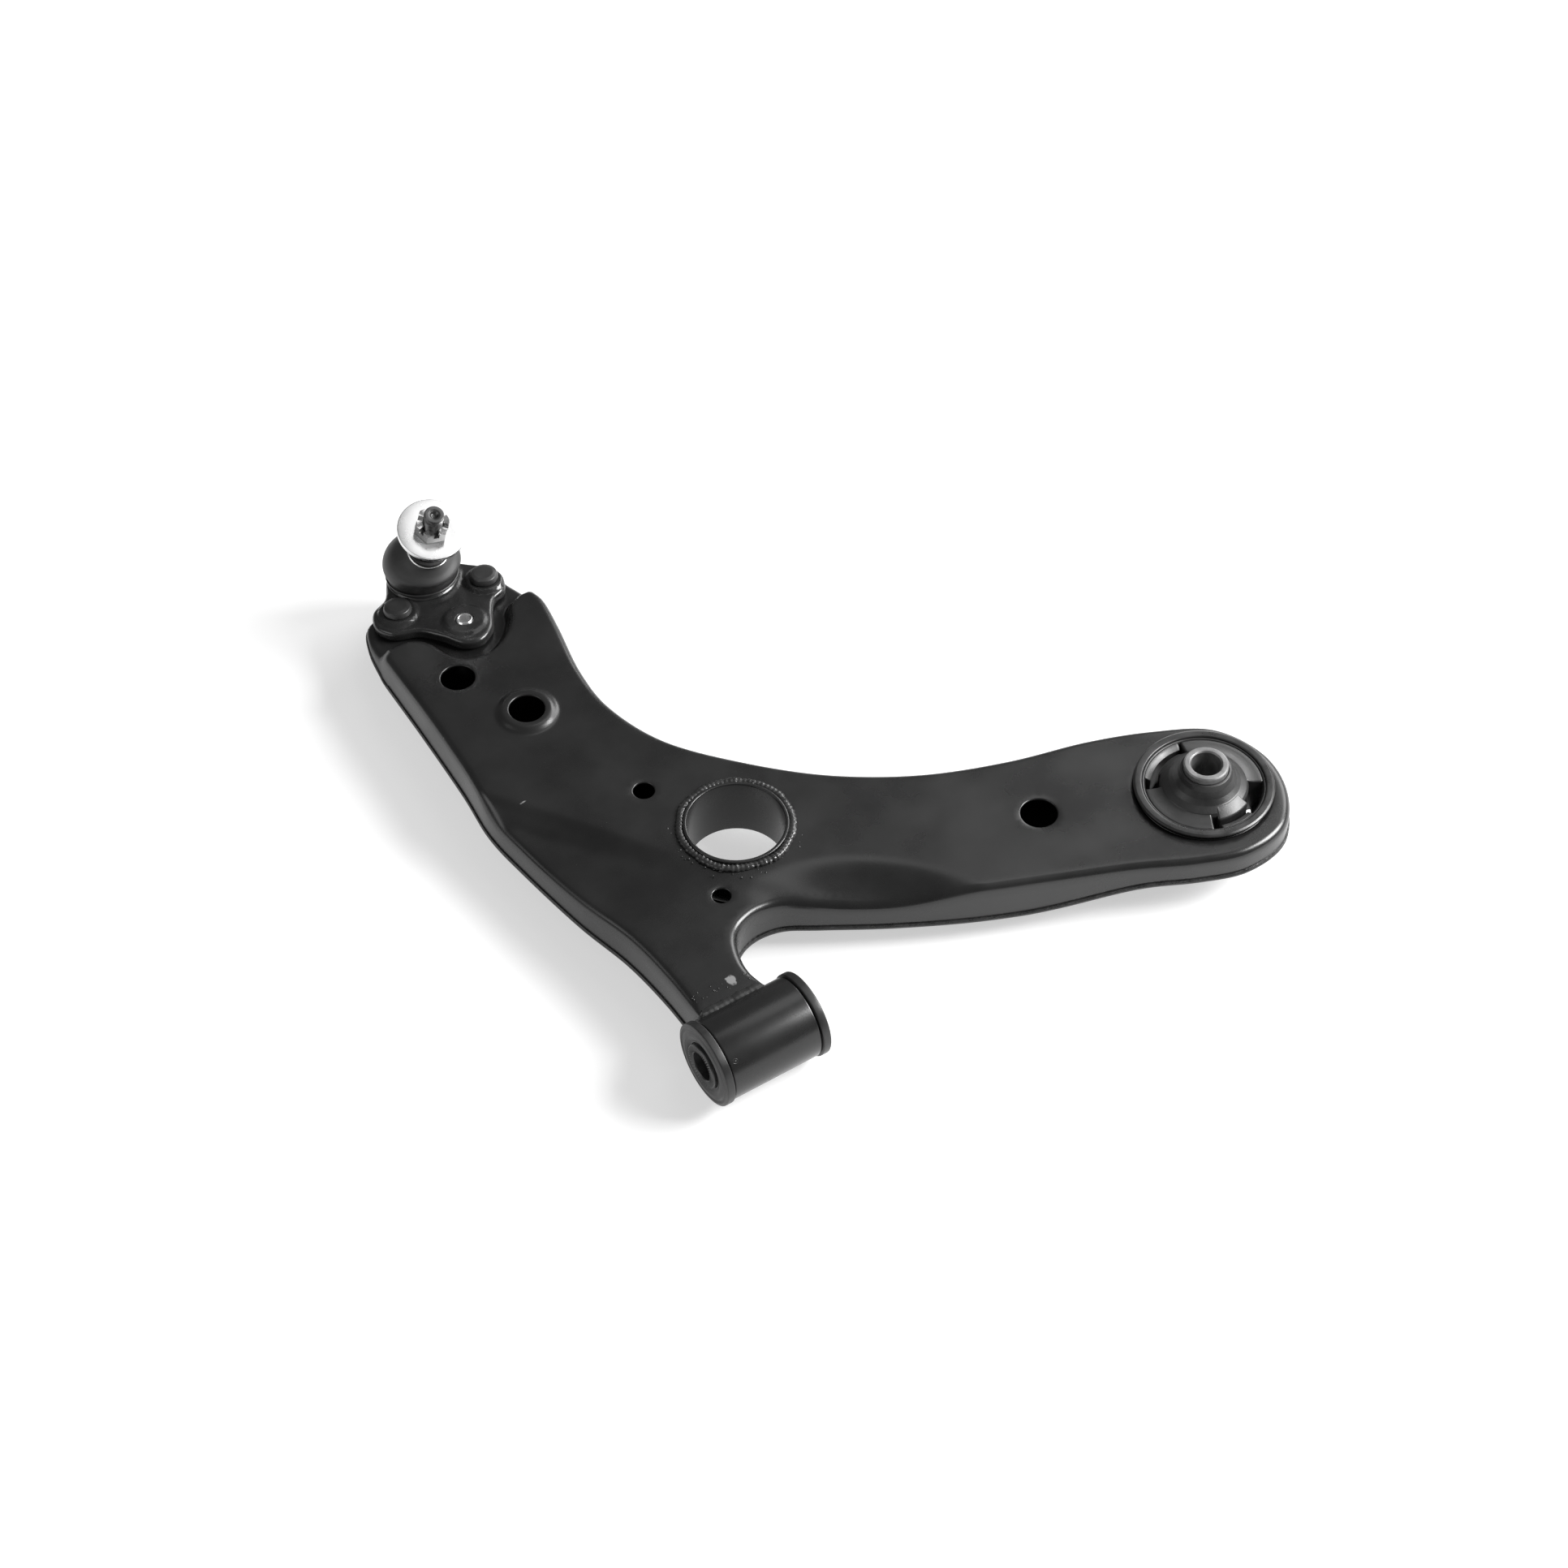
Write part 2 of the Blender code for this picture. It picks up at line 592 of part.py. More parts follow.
def shared_holes(level):
    """Holes that both pressings have: tube, rear seat and the three bolts."""
    holes = [hole_ring(*TUBE_CENTRE, TUBE_RADIUS + WELD_GAP, level, 28),
             hole_ring(BUSH_SPACING, 0.0, REAR_SEAT_RADIUS + GAP, level, 36)]
    for x, y in BOLT_PLACES.values():
        holes.append(hole_ring(x, y, BOLT_RADIUS + BOLT_CLEARANCE, level, 12))
    return holes


def thickened(obj, thickness, offset):
    """Give a sheet its thickness."""
    modifier = obj.modifiers.new("sheet", "SOLIDIFY")
    modifier.thickness = thickness * MM
    modifier.offset = offset
    modifier.use_even_offset = True
    return obj


outline = arm_outline(OUTLINE_STEP)
housing_cutter = cylinder("front_housing_space", FRONT_HOUSING_RADIUS + GAP,
                          -FRONT_HOUSING_LENGTH, FRONT_HOUSING_LENGTH, front_frame)


def pressing_creases():
    """Points along the pocket's wall and the raised boss."""
    out = []
    for depth in (0.0, 0.5, 1.0):
        inset = depth * POCKET_WALL_RUN
        radius = POCKET_RADIUS - inset
        level_y = POCKET_END + inset
        start = degrees(asin((level_y - POCKET_CENTRE[1]) / radius))
        out += arc(POCKET_CENTRE, radius, 180.0 - start, 360.0 + start, 13)
        for x in range(-32, 68, 9):
            if abs(x - POCKET_CENTRE[0]) > radius:
                out.append((x, level_y))
    x, y, _ = ACCESS_HOLES[BOSS_HOLE]
    for radius in (BOSS_TOP_RADIUS, (BOSS_TOP_RADIUS + BOSS_FOOT_RADIUS) / 2, BOSS_FOOT_RADIUS):
        out += arc((x, y), radius, 0.0, 360.0, 14)[:-1]
    return out


def make_upper_shell():
    """Upper pressing: top face, rolled edge and side walls."""
    radii = []
    for x, y in outline:
        room = top_level(x, y) - rim_level(x, y) - SHEET - GAP
        radii.append(min(EDGE_RADIUS, 0.7 * room))
    rings = []
    for turn in (0.0, 45.0, 90.0):
        base = inward(outline, [r * (1.0 - cos(radians(turn))) for r in radii])
        drops = [r * (1.0 - sin(radians(turn))) for r in radii]
        rings.append([(x, y, top_level(x, y) - drop) for (x, y), drop in zip(base, drops)])
    skirt = [rim_level(x, y) + SHEET + GAP for x, y in outline]
    holes = shared_holes(top_level)
    for x, y, radius in ACCESS_HOLES:
        holes.append(hole_ring(x, y, radius, top_level, 16))
    shell = pressed_sheet("upper_shell", rings, skirt, holes, top_level, SHEET_GRID,
                          pressing_creases())
    thickened(shell, SHEET, -1.0)
    cut(shell, housing_cutter)
    return finish(shell, "upper_shell", "black_paint")


def make_lower_shell():
    """Lower pressing: closes the arm from below, edge to edge with the walls."""
    rings = [[(x, y, rim_level(x, y)) for x, y in outline]]

    def level(x, y):
        return belly_level(x, y, distance_to(outline, x, y))

    shell = pressed_sheet("lower_shell", rings, None, shared_holes(level), level, SHEET_GRID)
    thickened(shell, SHEET, 1.0)
    cut(shell, housing_cutter)
    return finish(shell, "lower_shell", "black_paint")


upper_shell = make_upper_shell()
lower_shell = make_lower_shell()

# ------------------------------------------------------- tubes welded to the arm
tube_low = belly_level(*TUBE_CENTRE, 60.0) - TUBE_PROUD
tube_high = top_level(*TUBE_CENTRE) + TUBE_PROUD
tube_frame = Matrix.Translation(Vector((*TUBE_CENTRE, 0.0)) * MM)
finish(turned("centre_tube",
              ring_profile(TUBE_RADIUS - TUBE_WALL, TUBE_RADIUS, tube_low, tube_high, 0.6),
              matrix=tube_frame), "centre_tube", "black_paint")

half_housing = FRONT_HOUSING_LENGTH / 2
housing_bore = FRONT_HOUSING_RADIUS - FRONT_HOUSING_WALL
finish(turned("front_bush_housing",
              ring_profile(housing_bore, FRONT_HOUSING_RADIUS, -half_housing, half_housing, 0.5),
              matrix=front_frame), "front_bush_housing", "black_paint")

seat_high = TOP_LEVEL - 0.2
seat_low = rim_level(BUSH_SPACING, 0.0) - 2.5
finish(turned("rear_bush_seat",
              ring_profile(REAR_CAN_RADIUS + GAP, REAR_SEAT_RADIUS, seat_low, seat_high),
              matrix=rear_frame), "rear_bush_seat", "black_paint")

# ------------------------------------------------------------------- front bush
can_outer = housing_bore - GAP
can_inner = can_outer - FRONT_CAN_WALL
half_can = half_housing - 1.0
finish(turned("front_bush_can", ring_profile(can_inner, can_outer, -half_can, half_can),
              matrix=front_frame), "front_bush_can", "dark_steel")

flange_in = half_housing + GAP
flange_out = flange_in + FRONT_FLANGE_THICKNESS
rubber_inner = FRONT_SLEEVE_RADIUS + GAP
rubber_outer = can_inner - GAP
front_rubber = [
    (rubber_inner, flange_out - 1.6), (rubber_inner + 1.6, flange_out),
    (FRONT_FLANGE_RADIUS - 1.4, flange_out), (FRONT_FLANGE_RADIUS, flange_out - 1.4),
    (FRONT_FLANGE_RADIUS, flange_in), (rubber_outer, flange_in),
]
front_rubber += [(r, -z) for r, z in reversed(front_rubber)]
finish(turned("front_bush_rubber", front_rubber, matrix=front_frame), "front_bush_rubber", "rubber")

front_sleeve_end = flange_out + FRONT_SLEEVE_PROUD
front_joint = joint_empty("front_bush_axis", front_frame)
front_sleeve = turned(
    "front_bush_sleeve",
    [(FRONT_SLEEVE_BORE + 0.8, front_sleeve_end),
     (FRONT_SLEEVE_RADIUS - 0.6, front_sleeve_end), (FRONT_SLEEVE_RADIUS, front_sleeve_end - 0.6),
     (FRONT_SLEEVE_RADIUS, -front_sleeve_end + 0.6), (FRONT_SLEEVE_RADIUS - 0.6, -front_sleeve_end),
     (FRONT_SLEEVE_BORE + 0.8, -front_sleeve_end), (FRONT_SLEEVE_BORE, -front_sleeve_end + 0.8),
     (FRONT_SLEEVE_BORE, front_sleeve_end - 0.8)],
    matrix=front_frame)
finish(front_sleeve, "front_bush_sleeve", "dark_steel")
hang(front_sleeve, front_joint)

# -------------------------------------------------------------------- rear bush
lip_low = TOP_LEVEL + REAR_LIP_LIFT
lip_high = lip_low + REAR_CAN_WALL
can_low = seat_low - 2.0
can_bore = REAR_CAN_RADIUS - REAR_CAN_WALL
finish(turned("rear_bush_can",
              [(can_bore, lip_high - 1.0), (can_bore + 1.0, lip_high), (REAR_LIP_RADIUS - 0.6, lip_high),
               (REAR_LIP_RADIUS, lip_high - 0.6), (REAR_LIP_RADIUS, lip_low),
               (REAR_CAN_RADIUS, lip_low), (REAR_CAN_RADIUS, can_low), (can_bore, can_low)],
              sides=36, matrix=rear_frame), "rear_bush_can", "dark_steel")

sleeve_middle = REAR_SLEEVE_LENGTH / 2
web_outer = can_bore - GAP
core_inner = REAR_SLEEVE_RADIUS + GAP
collar_top = REAR_SLEEVE_LENGTH - REAR_SLEEVE_PROUD
rear_rubber_top = [(core_inner, collar_top), (core_inner + 1.6, collar_top - 0.8)]
rear_rubber_top += [(REAR_SLEEVE_RADIUS + out, lip_high + up) for out, up in REAR_CONE]
rear_rubber_top += [(web_outer - 1.2, lip_high - 1.2), (web_outer, lip_high - 3.0)]
rear_rubber_low = [(web_outer, can_low + 1.5), (29.0, can_low + 1.0), (22.0, can_low - 3.0),
                   (17.0, can_low - 8.5), (core_inner, can_low - 10.0)]
rear_rubber = turned("rear_bush_rubber", rear_rubber_top + rear_rubber_low, sides=36, matrix=rear_frame)


def kidney(name, middle):
    """Cutter for a kidney-shaped void through the rear bush rubber."""
    half = REAR_VOID_SPAN / 2
    nose = (REAR_VOID_OUTER - REAR_VOID_INNER) / 2
    centre_line = (REAR_VOID_OUTER + REAR_VOID_INNER) / 2
    trim = degrees(nose / centre_line)
    first, last = middle - half + trim, middle + half - trim
    points = arc((0.0, 0.0), REAR_VOID_OUTER, first, last, 8)
    end = (centre_line * cos(radians(last)), centre_line * sin(radians(last)))
    points += arc(end, nose, last, last + 180.0, 6)[1:]
    points += arc((0.0, 0.0), REAR_VOID_INNER, last, first, 8)[1:]
    start = (centre_line * cos(radians(first)), centre_line * sin(radians(first)))
    points += arc(start, nose, first + 180.0, first + 360.0, 6)[1:-1]
    return as_cutter(slab(name, points, -5.0, REAR_SLEEVE_LENGTH + 5.0, rear_frame))


cut(rear_rubber, kidney("void_space_outboard", REAR_VOID_ANGLE))
cut(rear_rubber, kidney("void_space_inboard", REAR_VOID_ANGLE - 180.0))
finish(rear_rubber, "rear_bush_rubber", "rubber")

rear_joint = joint_empty("rear_bush_axis",
                         Matrix.Translation(Vector((BUSH_SPACING, 0.0, sleeve_middle)) * MM))
rear_sleeve = turned(
    "rear_bush_sleeve",
    [(REAR_SLEEVE_BORE + 0.7, REAR_SLEEVE_LENGTH), (REAR_SLEEVE_RADIUS - 0.7, REAR_SLEEVE_LENGTH),
     (REAR_SLEEVE_RADIUS, REAR_SLEEVE_LENGTH - 0.7), (REAR_SLEEVE_RADIUS, 0.7),
     (REAR_SLEEVE_RADIUS - 0.7, 0.0), (REAR_SLEEVE_BORE + 0.7, 0.0), (REAR_SLEEVE_BORE, 0.7),
     (REAR_SLEEVE_BORE, REAR_SLEEVE_LENGTH - 0.7)],
    matrix=rear_frame)
finish(rear_sleeve, "rear_bush_sleeve", "dark_steel")
hang(rear_sleeve, rear_joint)

# ------------------------------------------------------------------- ball joint
liner_outer = BALL_RADIUS + GAP + LINER_WALL
socket_radius = liner_outer + GAP


def sphere_arc(radius, top_angle, bottom_angle, steps):
    """(radius, height) points on a sphere between two angles from its top."""
    angles = [radians(top_angle + (bottom_angle - top_angle) * k / steps) for k in range(steps + 1)]
    return [(radius * sin(a), radius * cos(a)) for a in angles]


mouth_angle = 64.0
cap_seat = -CUP_DEPTH + 3.0
socket_floor = -CUP_DEPTH + 8.0
socket_low = degrees(atan2(sqrt(socket_radius ** 2 - socket_floor ** 2), socket_floor))
socket = sphere_arc(socket_radius, mouth_angle, socket_low, 5)
housing_profile = [
    (socket[0][0] + 0.8, BOOT_NECK_TOP), (BOOT_NECK_RADIUS, BOOT_NECK_TOP),
    (BOOT_NECK_RADIUS, COLLAR_TOP), (COLLAR_RADIUS - 0.8, COLLAR_TOP),
    (COLLAR_RADIUS, COLLAR_TOP - 0.8), (COLLAR_RADIUS, -6.5), (CUP_RADIUS, -8.0),
    (CUP_RADIUS, -CUP_DEPTH + 2.0), (CUP_RADIUS - 2.0, -CUP_DEPTH), (CUP_RADIUS - 4.0, -CUP_DEPTH),
    (CUP_RADIUS - 4.0, cap_seat), (socket[-1][0], cap_seat),
] + list(reversed(socket))
cup = as_cutter(turned("housing_cup", housing_profile, sides=24, matrix=housing_frame))

cos_lean = cos(radians(HOUSING_LEAN))
flange_points = splined(FLANGE_OUTLINE + arc((0.0, 0.0), COLLAR_RADIUS + 0.5, 150.0, 25.0, 5),
                        True, 9.0)
flange_plan = [(x, y / cos_lean) for x, y in flange_points]
housing = slab("ball_joint_housing", flange_plan, FLANGE_TOP - FLANGE_THICKNESS, FLANGE_TOP,
               housing_frame)
bevelled(housing, 1.6)
cut(housing, cup, "UNION")
cut(housing, cylinder("housing_bore", socket_radius * sin(radians(mouth_angle)),
                      -8.0, BOOT_NECK_TOP + 5.0, housing_frame, 24))
cut(housing, as_cutter(turned("socket_space", [(0.0, socket_radius)] + sphere_arc(
    socket_radius, 14.0, 166.0, 8) + [(0.0, -socket_radius)], sides=24, matrix=housing_frame)))
boss_top = FLANGE_TOP + 1.2
for side in ("left", "right"):
    boss_frame = housing_frame @ Matrix.Translation(bolt_place(side))
    cut(housing, cylinder(f"boss_{side}", BOLT_HEAD_RADIUS + 2.0, FLANGE_TOP - 3.0, boss_top,
                          boss_frame, 16), "UNION")
for side in BOLT_PLACES:
    bore_frame = housing_frame @ Matrix.Translation(bolt_place(side))
    cut(housing, cylinder(f"bolt_bore_{side}", BOLT_RADIUS + GAP, -20.0, 10.0, bore_frame, 16))
finish(housing, "ball_joint_housing", "black_paint")

cap_radius = CUP_RADIUS - 4.0 - GAP
finish(turned("ball_joint_cap",
              [(0.0, cap_seat - GAP), (cap_radius, cap_seat - GAP), (cap_radius, -CUP_DEPTH + 1.0),
               (cap_radius - 1.5, -CUP_DEPTH + 0.2), (6.0, -CUP_DEPTH + 0.2), (0.0, -CUP_DEPTH + 0.8)],
              sides=32, matrix=housing_frame), "ball_joint_cap", "dark_steel")

liner_inner = BALL_RADIUS + GAP
liner_top, liner_bottom = 67.0, 132.0
liner_profile = (sphere_arc(liner_outer, liner_top, liner_bottom, 5)
                 + list(reversed(sphere_arc(liner_inner, liner_top, liner_bottom, 5))))
swing_joint = joint_empty("ball_joint_swing_axis", housing_frame)
liner = turned("ball_seat_liner", liner_profile, sides=24, matrix=housing_frame)
finish(liner, "ball_seat_liner", "polymer")
hang(liner, swing_joint)

# The stud and everything on it, along its own leaning axis.
disc_low = STUD_SHOULDER + GAP
disc_high = disc_low + DISC_THICKNESS
nut_low = disc_high + GAP
nut_high = nut_low + CASTLE_NUT_HEIGHT
thread = STUD_THREAD_RADIUS
shoulder_radius = thread + 1.0
neck_angle = degrees(atan2(STUD_NECK_RADIUS, sqrt(BALL_RADIUS ** 2 - STUD_NECK_RADIUS ** 2)))
stud_profile = [
    (0.0, STUD_END - 1.6), (2.2, STUD_END - 1.6), (2.4, STUD_END), (thread - 1.0, STUD_END),
    (thread, STUD_END - 1.0), (thread, STUD_SHOULDER), (shoulder_radius, STUD_SHOULDER - 0.4),
    (STUD_COLLAR_RADIUS, 36.5), (STUD_COLLAR_RADIUS, 30.0), (STUD_NECK_RADIUS, 24.0),
] + sphere_arc(BALL_RADIUS, neck_angle, 160.0, 9) + [(0.0, BALL_RADIUS * cos(radians(160.0)))]
spin_joint = joint_empty("ball_joint_spin_axis", stud_frame)
stud = finish(turned("ball_stud", stud_profile, sides=24, matrix=stud_frame), "ball_stud", "dark_steel")
hang(stud, spin_joint)

disc = turned("spacer_disc", ring_profile(thread + GAP, DISC_RADIUS, disc_low, disc_high, 0.5),
              sides=36, matrix=stud_frame)
hang(finish(disc, "spacer_disc", "satin_aluminium"), spin_joint)


def hexagon(across_flats):
    """Corner points of a hexagon across its flats."""
    return arc((0.0, 0.0), across_flats / sqrt(3), 0.0, 300.0, 5)


nut_frame = stud_frame @ Matrix.Rotation(radians(CASTLE_NUT_TURN), 4, "Z")
castle_nut = slab("castle_nut", hexagon(CASTLE_NUT_ACROSS_FLATS), nut_low, nut_high, nut_frame)
chamfer_cone = as_cutter(turned(
    "nut_chamfer", [(0.0, nut_high + 1.0), (CASTLE_NUT_ACROSS_FLATS / 2 - 1.0, nut_high + 1.0),
                    (CASTLE_NUT_ACROSS_FLATS / 2 + 3.0, nut_high - 3.0),
                    (CASTLE_NUT_ACROSS_FLATS / 2 + 3.0, nut_low - 1.0), (0.0, nut_low - 1.0)],
    sides=36, matrix=nut_frame))
cut(castle_nut, chamfer_cone, "INTERSECT")
cut(castle_nut, cylinder("nut_bore", thread + GAP, nut_low - 2.0, nut_high + 2.0, nut_frame, 28))
for k in range(3):
    half = CASTLE_SLOT_WIDTH / 2
    reach = CASTLE_NUT_ACROSS_FLATS
    slot_frame = nut_frame @ Matrix.Rotation(radians(30.0 + 60.0 * k), 4, "Z")
    slot = slab(f"nut_slot_{k}", [(-reach, -half), (reach, -half), (reach, half), (-reach, half)],
                nut_high - CASTLE_SLOT_DEPTH, nut_high + 2.0, slot_frame)
    cut(castle_nut, as_cutter(slot))
hang(finish(castle_nut, "castle_nut", "bright_zinc"), spin_joint)

# Dust boot: a straight turned sleeve, bent so that its top follows the stud.
boot_low = COLLAR_TOP + GAP
neck = BOOT_NECK_RADIUS
boot_outer = [(STUD_COLLAR_RADIUS + GAP + BOOT_WALL, BOOT_TOP), (10.9, 31.0), (14.5, 27.5),
              (neck + 1.9, 23.5), (neck + 4.7, 17.5), (neck + 4.8, 12.5), (neck + 3.2, 8.0),
              (neck + 2.6, boot_low)]
boot_inner = [(neck + GAP, boot_low), (neck + GAP, BOOT_NECK_TOP + 0.6),
              (neck + 2.8, 12.8), (neck + 2.8, 16.8), (neck + 0.4, 22.2), (13.2, 26.0),
              (STUD_COLLAR_RADIUS + GAP, 30.5), (STUD_COLLAR_RADIUS + GAP, BOOT_TOP)]
boot = turned("dust_boot", boot_outer + boot_inner, sides=28)
straight = boot.evaluated_get(bpy.context.evaluated_depsgraph_get())
boot_mesh = bpy.data.meshes.new_from_object(straight)
bpy.data.objects.remove(boot, do_unlink=True)
for vertex in boot_mesh.vertices:
    lift = smooth((vertex.co.z / MM - 9.0) / (29.5 - 9.0))
    vertex.co = Matrix.Rotation(radians(STUD_BEND) * lift, 4, "X") @ vertex.co
boot = place(boot_mesh)
boot.matrix_world = housing_frame
finish(boot, "dust_boot", "rubber")


def wire_ring(name, radius, height, frame):
    """A round spring ring made as a torus."""
    section = arc((radius, height), RING_WIRE, 90.0, -270.0, 5)[:-1]
    return finish(turned(name, section, sides=24, matrix=frame), name, "bright_zinc")


wire_ring("boot_lower_ring", neck + 3.1 + RING_WIRE + GAP, boot_low + 2.4, housing_frame)
tilt_joint = joint_empty("ball_joint_tilt_axis", stud_frame)
hang(wire_ring("boot_upper_ring", 11.1 + RING_WIRE + GAP, BOOT_TOP - 2.2, stud_frame), tilt_joint)


# ------------------------------------------------------------ fasteners, one each
nut_top = SEAT_PLANE - 2.0 * SHEET - SHEET_GAP - GAP
nut_bottom = nut_top - NUT_HEIGHT
for side in ("left", "right"):
    frame = housing_frame @ Matrix.Translation(bolt_place(side))
    head_low = boss_top + GAP
    head_high = head_low + BOLT_HEAD_HEIGHT
    bolt_end = nut_bottom - BOLT_TAIL
    finish(turned(f"flange_bolt_{side}",
                  [(0.0, head_high), (BOLT_HEAD_RADIUS - 1.6, head_high - 0.2),
                   (BOLT_HEAD_RADIUS - 0.4, head_high - 1.0), (BOLT_HEAD_RADIUS, head_low + 1.0),
                   (BOLT_HEAD_RADIUS, head_low), (BOLT_RADIUS, head_low),
                   (BOLT_RADIUS, bolt_end + 0.8), (BOLT_RADIUS - 0.8, bolt_end), (0.0, bolt_end)],
                  sides=24, matrix=frame), f"flange_bolt_{side}", "black_paint")
    nut = slab(f"flange_nut_{side}", hexagon(NUT_ACROSS_FLATS), nut_bottom, nut_top, frame)
    cut(nut, cylinder(f"nut_hole_{side}", BOLT_RADIUS + GAP, nut_bottom - 2.0, nut_top + 2.0, frame, 20))
    finish(nut, f"flange_nut_{side}", "dark_steel")

inner_frame = housing_frame @ Matrix.Translation(bolt_place("inner"))
tip = FLANGE_TOP + 1.0
inner_bolt = slab("flange_bolt_inner", hexagon(NUT_ACROSS_FLATS), nut_top - 6.5, nut_top, inner_frame)
shank = as_cutter(turned("inner_bolt_shank",
                         [(0.0, tip), (BOLT_RADIUS - 1.0, tip), (BOLT_RADIUS, tip - 1.0),
                          (BOLT_RADIUS, nut_top - 3.0), (0.0, nut_top - 3.0)],
                         sides=20, matrix=inner_frame))
cut(inner_bolt, shank, "UNION")
finish(inner_bolt, "flange_bolt_inner", "bright_zinc")

# ------------------------------------------- move the arm to its own natural origin
bpy.context.view_layer.update()
depsgraph = bpy.context.evaluated_depsgraph_get()
corners = []
for obj in parts.objects:
    if obj.type == "MESH":
        seen = obj.evaluated_get(depsgraph)
        corners.extend(seen.matrix_world @ vertex.co for vertex in seen.data.vertices)
low = Vector([min(c[axis] for c in corners) for axis in range(3)])
high = Vector([max(c[axis] for c in corners) for axis in range(3)])
shift = Vector((-(low.x + high.x) / 2, -(low.y + high.y) / 2, -low.z))
origin = joint_empty("control_arm_frame", Matrix())
for obj in list(parts.objects) + list(cutters.objects):
    if obj.parent is None and obj is not origin:
        hang(obj, origin)
origin.location = shift
bpy.context.view_layer.update()
print("arm size in mm:", [round((high[a] - low[a]) / MM, 2) for a in range(3)])
print("shift in mm:", [round(s / MM, 3) for s in shift])
for name in ("front_bush_axis", "rear_bush_axis", "ball_joint_swing_axis", "ball_joint_spin_axis"):
    spot = bpy.data.objects[name].matrix_world.translation / MM
    print(name, "in mm:", [round(v, 3) for v in spot])
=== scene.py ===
# %% [markdown]
# # A pressed-steel control arm, piece by piece
# A control arm holds one front wheel of a car in place. It is two steel pressings welded edge
# to edge, with a rubber bush at each end of its pivot line and a ball joint at the far end.
# The engineering model gives every piece its place. This lesson builds the visible surface of
# each piece round it: dense pressings, moulded rubber, turned steel, welds and paint.

import json
from math import atan2, cos, hypot, pi, radians, sin, sqrt, tan

import bmesh
import bpy
import numpy as np
from mathutils import Matrix, Vector, noise
from mathutils.geometry import delaunay_2d_cdt


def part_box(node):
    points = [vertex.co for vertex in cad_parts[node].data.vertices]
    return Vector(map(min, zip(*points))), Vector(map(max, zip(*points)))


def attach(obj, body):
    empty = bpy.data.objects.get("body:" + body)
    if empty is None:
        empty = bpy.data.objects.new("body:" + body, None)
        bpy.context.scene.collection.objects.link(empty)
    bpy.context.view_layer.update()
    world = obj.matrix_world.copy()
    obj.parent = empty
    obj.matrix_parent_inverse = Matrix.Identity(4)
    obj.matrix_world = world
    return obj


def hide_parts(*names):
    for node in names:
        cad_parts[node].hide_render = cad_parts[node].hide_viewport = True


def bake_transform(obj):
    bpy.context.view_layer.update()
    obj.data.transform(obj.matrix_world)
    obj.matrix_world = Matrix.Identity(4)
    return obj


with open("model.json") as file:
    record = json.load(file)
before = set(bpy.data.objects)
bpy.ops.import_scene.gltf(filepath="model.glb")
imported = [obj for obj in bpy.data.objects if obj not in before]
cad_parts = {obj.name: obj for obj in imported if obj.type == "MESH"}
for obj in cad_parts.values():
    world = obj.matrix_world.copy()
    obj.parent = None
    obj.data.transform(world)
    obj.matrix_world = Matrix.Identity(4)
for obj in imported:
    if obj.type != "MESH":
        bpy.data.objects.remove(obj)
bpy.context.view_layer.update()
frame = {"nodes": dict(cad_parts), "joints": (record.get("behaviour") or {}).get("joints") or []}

# %% [markdown]
# ## Where everything is
# Each joint of the model carries the point it turns about, so the two bushes and the ball are
# read from the joints. Lengths below are in millimetres, measured from the point on the floor
# under the front bush: +X runs rearwards, +Y outboard and +Z up.

# %% Axes and frames
MM = 0.001
joints = {joint["name"]: joint for joint in frame["joints"]}
front_bush = Vector(joints["front_sleeve_turn"]["pos_m"])
rear_bush = Vector(joints["rear_sleeve_rock"]["pos_m"])
ball = Vector(joints["ball_swing"]["pos_m"])
stud_axis = Vector(joints["stud_spin"]["axis"])
HOUSING_LEAN = radians(4.0)

drawing = Matrix.Translation((front_bush.x, front_bush.y, 0.0))
front_frame = Matrix.Translation(front_bush) @ Matrix.Rotation(radians(90), 4, "Y")
rear_frame = Matrix.Translation((rear_bush.x, rear_bush.y, 0.0))
housing_frame = Matrix.Translation(ball) @ Matrix.Rotation(-HOUSING_LEAN, 4, "X")
stud_frame = Matrix.Translation(ball) @ Matrix.Rotation(atan2(-stud_axis.y, stud_axis.z), 4, "X")

BALL = (ball - drawing.translation) / MM
BUSH_SPACING = (rear_bush.x - front_bush.x) / MM
print(f"bush spacing {BUSH_SPACING:.1f} mm, ball joint {BALL.y:.1f} mm outboard of the pivot line")

# %% [markdown]
# ## The camera, the floor and the light
# The arm lies on a white sweep and is seen from above at about fifty degrees with a long
# lens, which keeps the perspective gentle. A large soft panel above and to the right makes
# the long highlights on the tube and the rolled edges, and a dim room keeps the top face dark.

# %% Camera
CAMERA_PLACE = (-693.4, -1085.0, 1700.7)
CAMERA_AIM = (103.8, 130.8, 40.0)
CAMERA_LENS = 91.3

camera_data = bpy.data.cameras.new("camera")
camera_data.lens = CAMERA_LENS
camera_data.sensor_width = 36.0
camera_data.clip_end = 50.0
camera = bpy.data.objects.new("camera", camera_data)
bpy.context.scene.collection.objects.link(camera)
camera.location = drawing @ (Vector(CAMERA_PLACE) * MM)
sight = (Vector(CAMERA_AIM) - Vector(CAMERA_PLACE)) * MM
camera.rotation_euler = sight.to_track_quat("-Z", "Y").to_euler()
bpy.context.scene.camera = camera
bpy.context.scene.view_settings.view_transform = "Standard"
print(f"camera {sight.length:.2f} m from the arm")

# %% Floor
FLOOR_SIZE = 7.0
FLOOR_TONE = 0.54
FLOOR_GLOW = 0.52

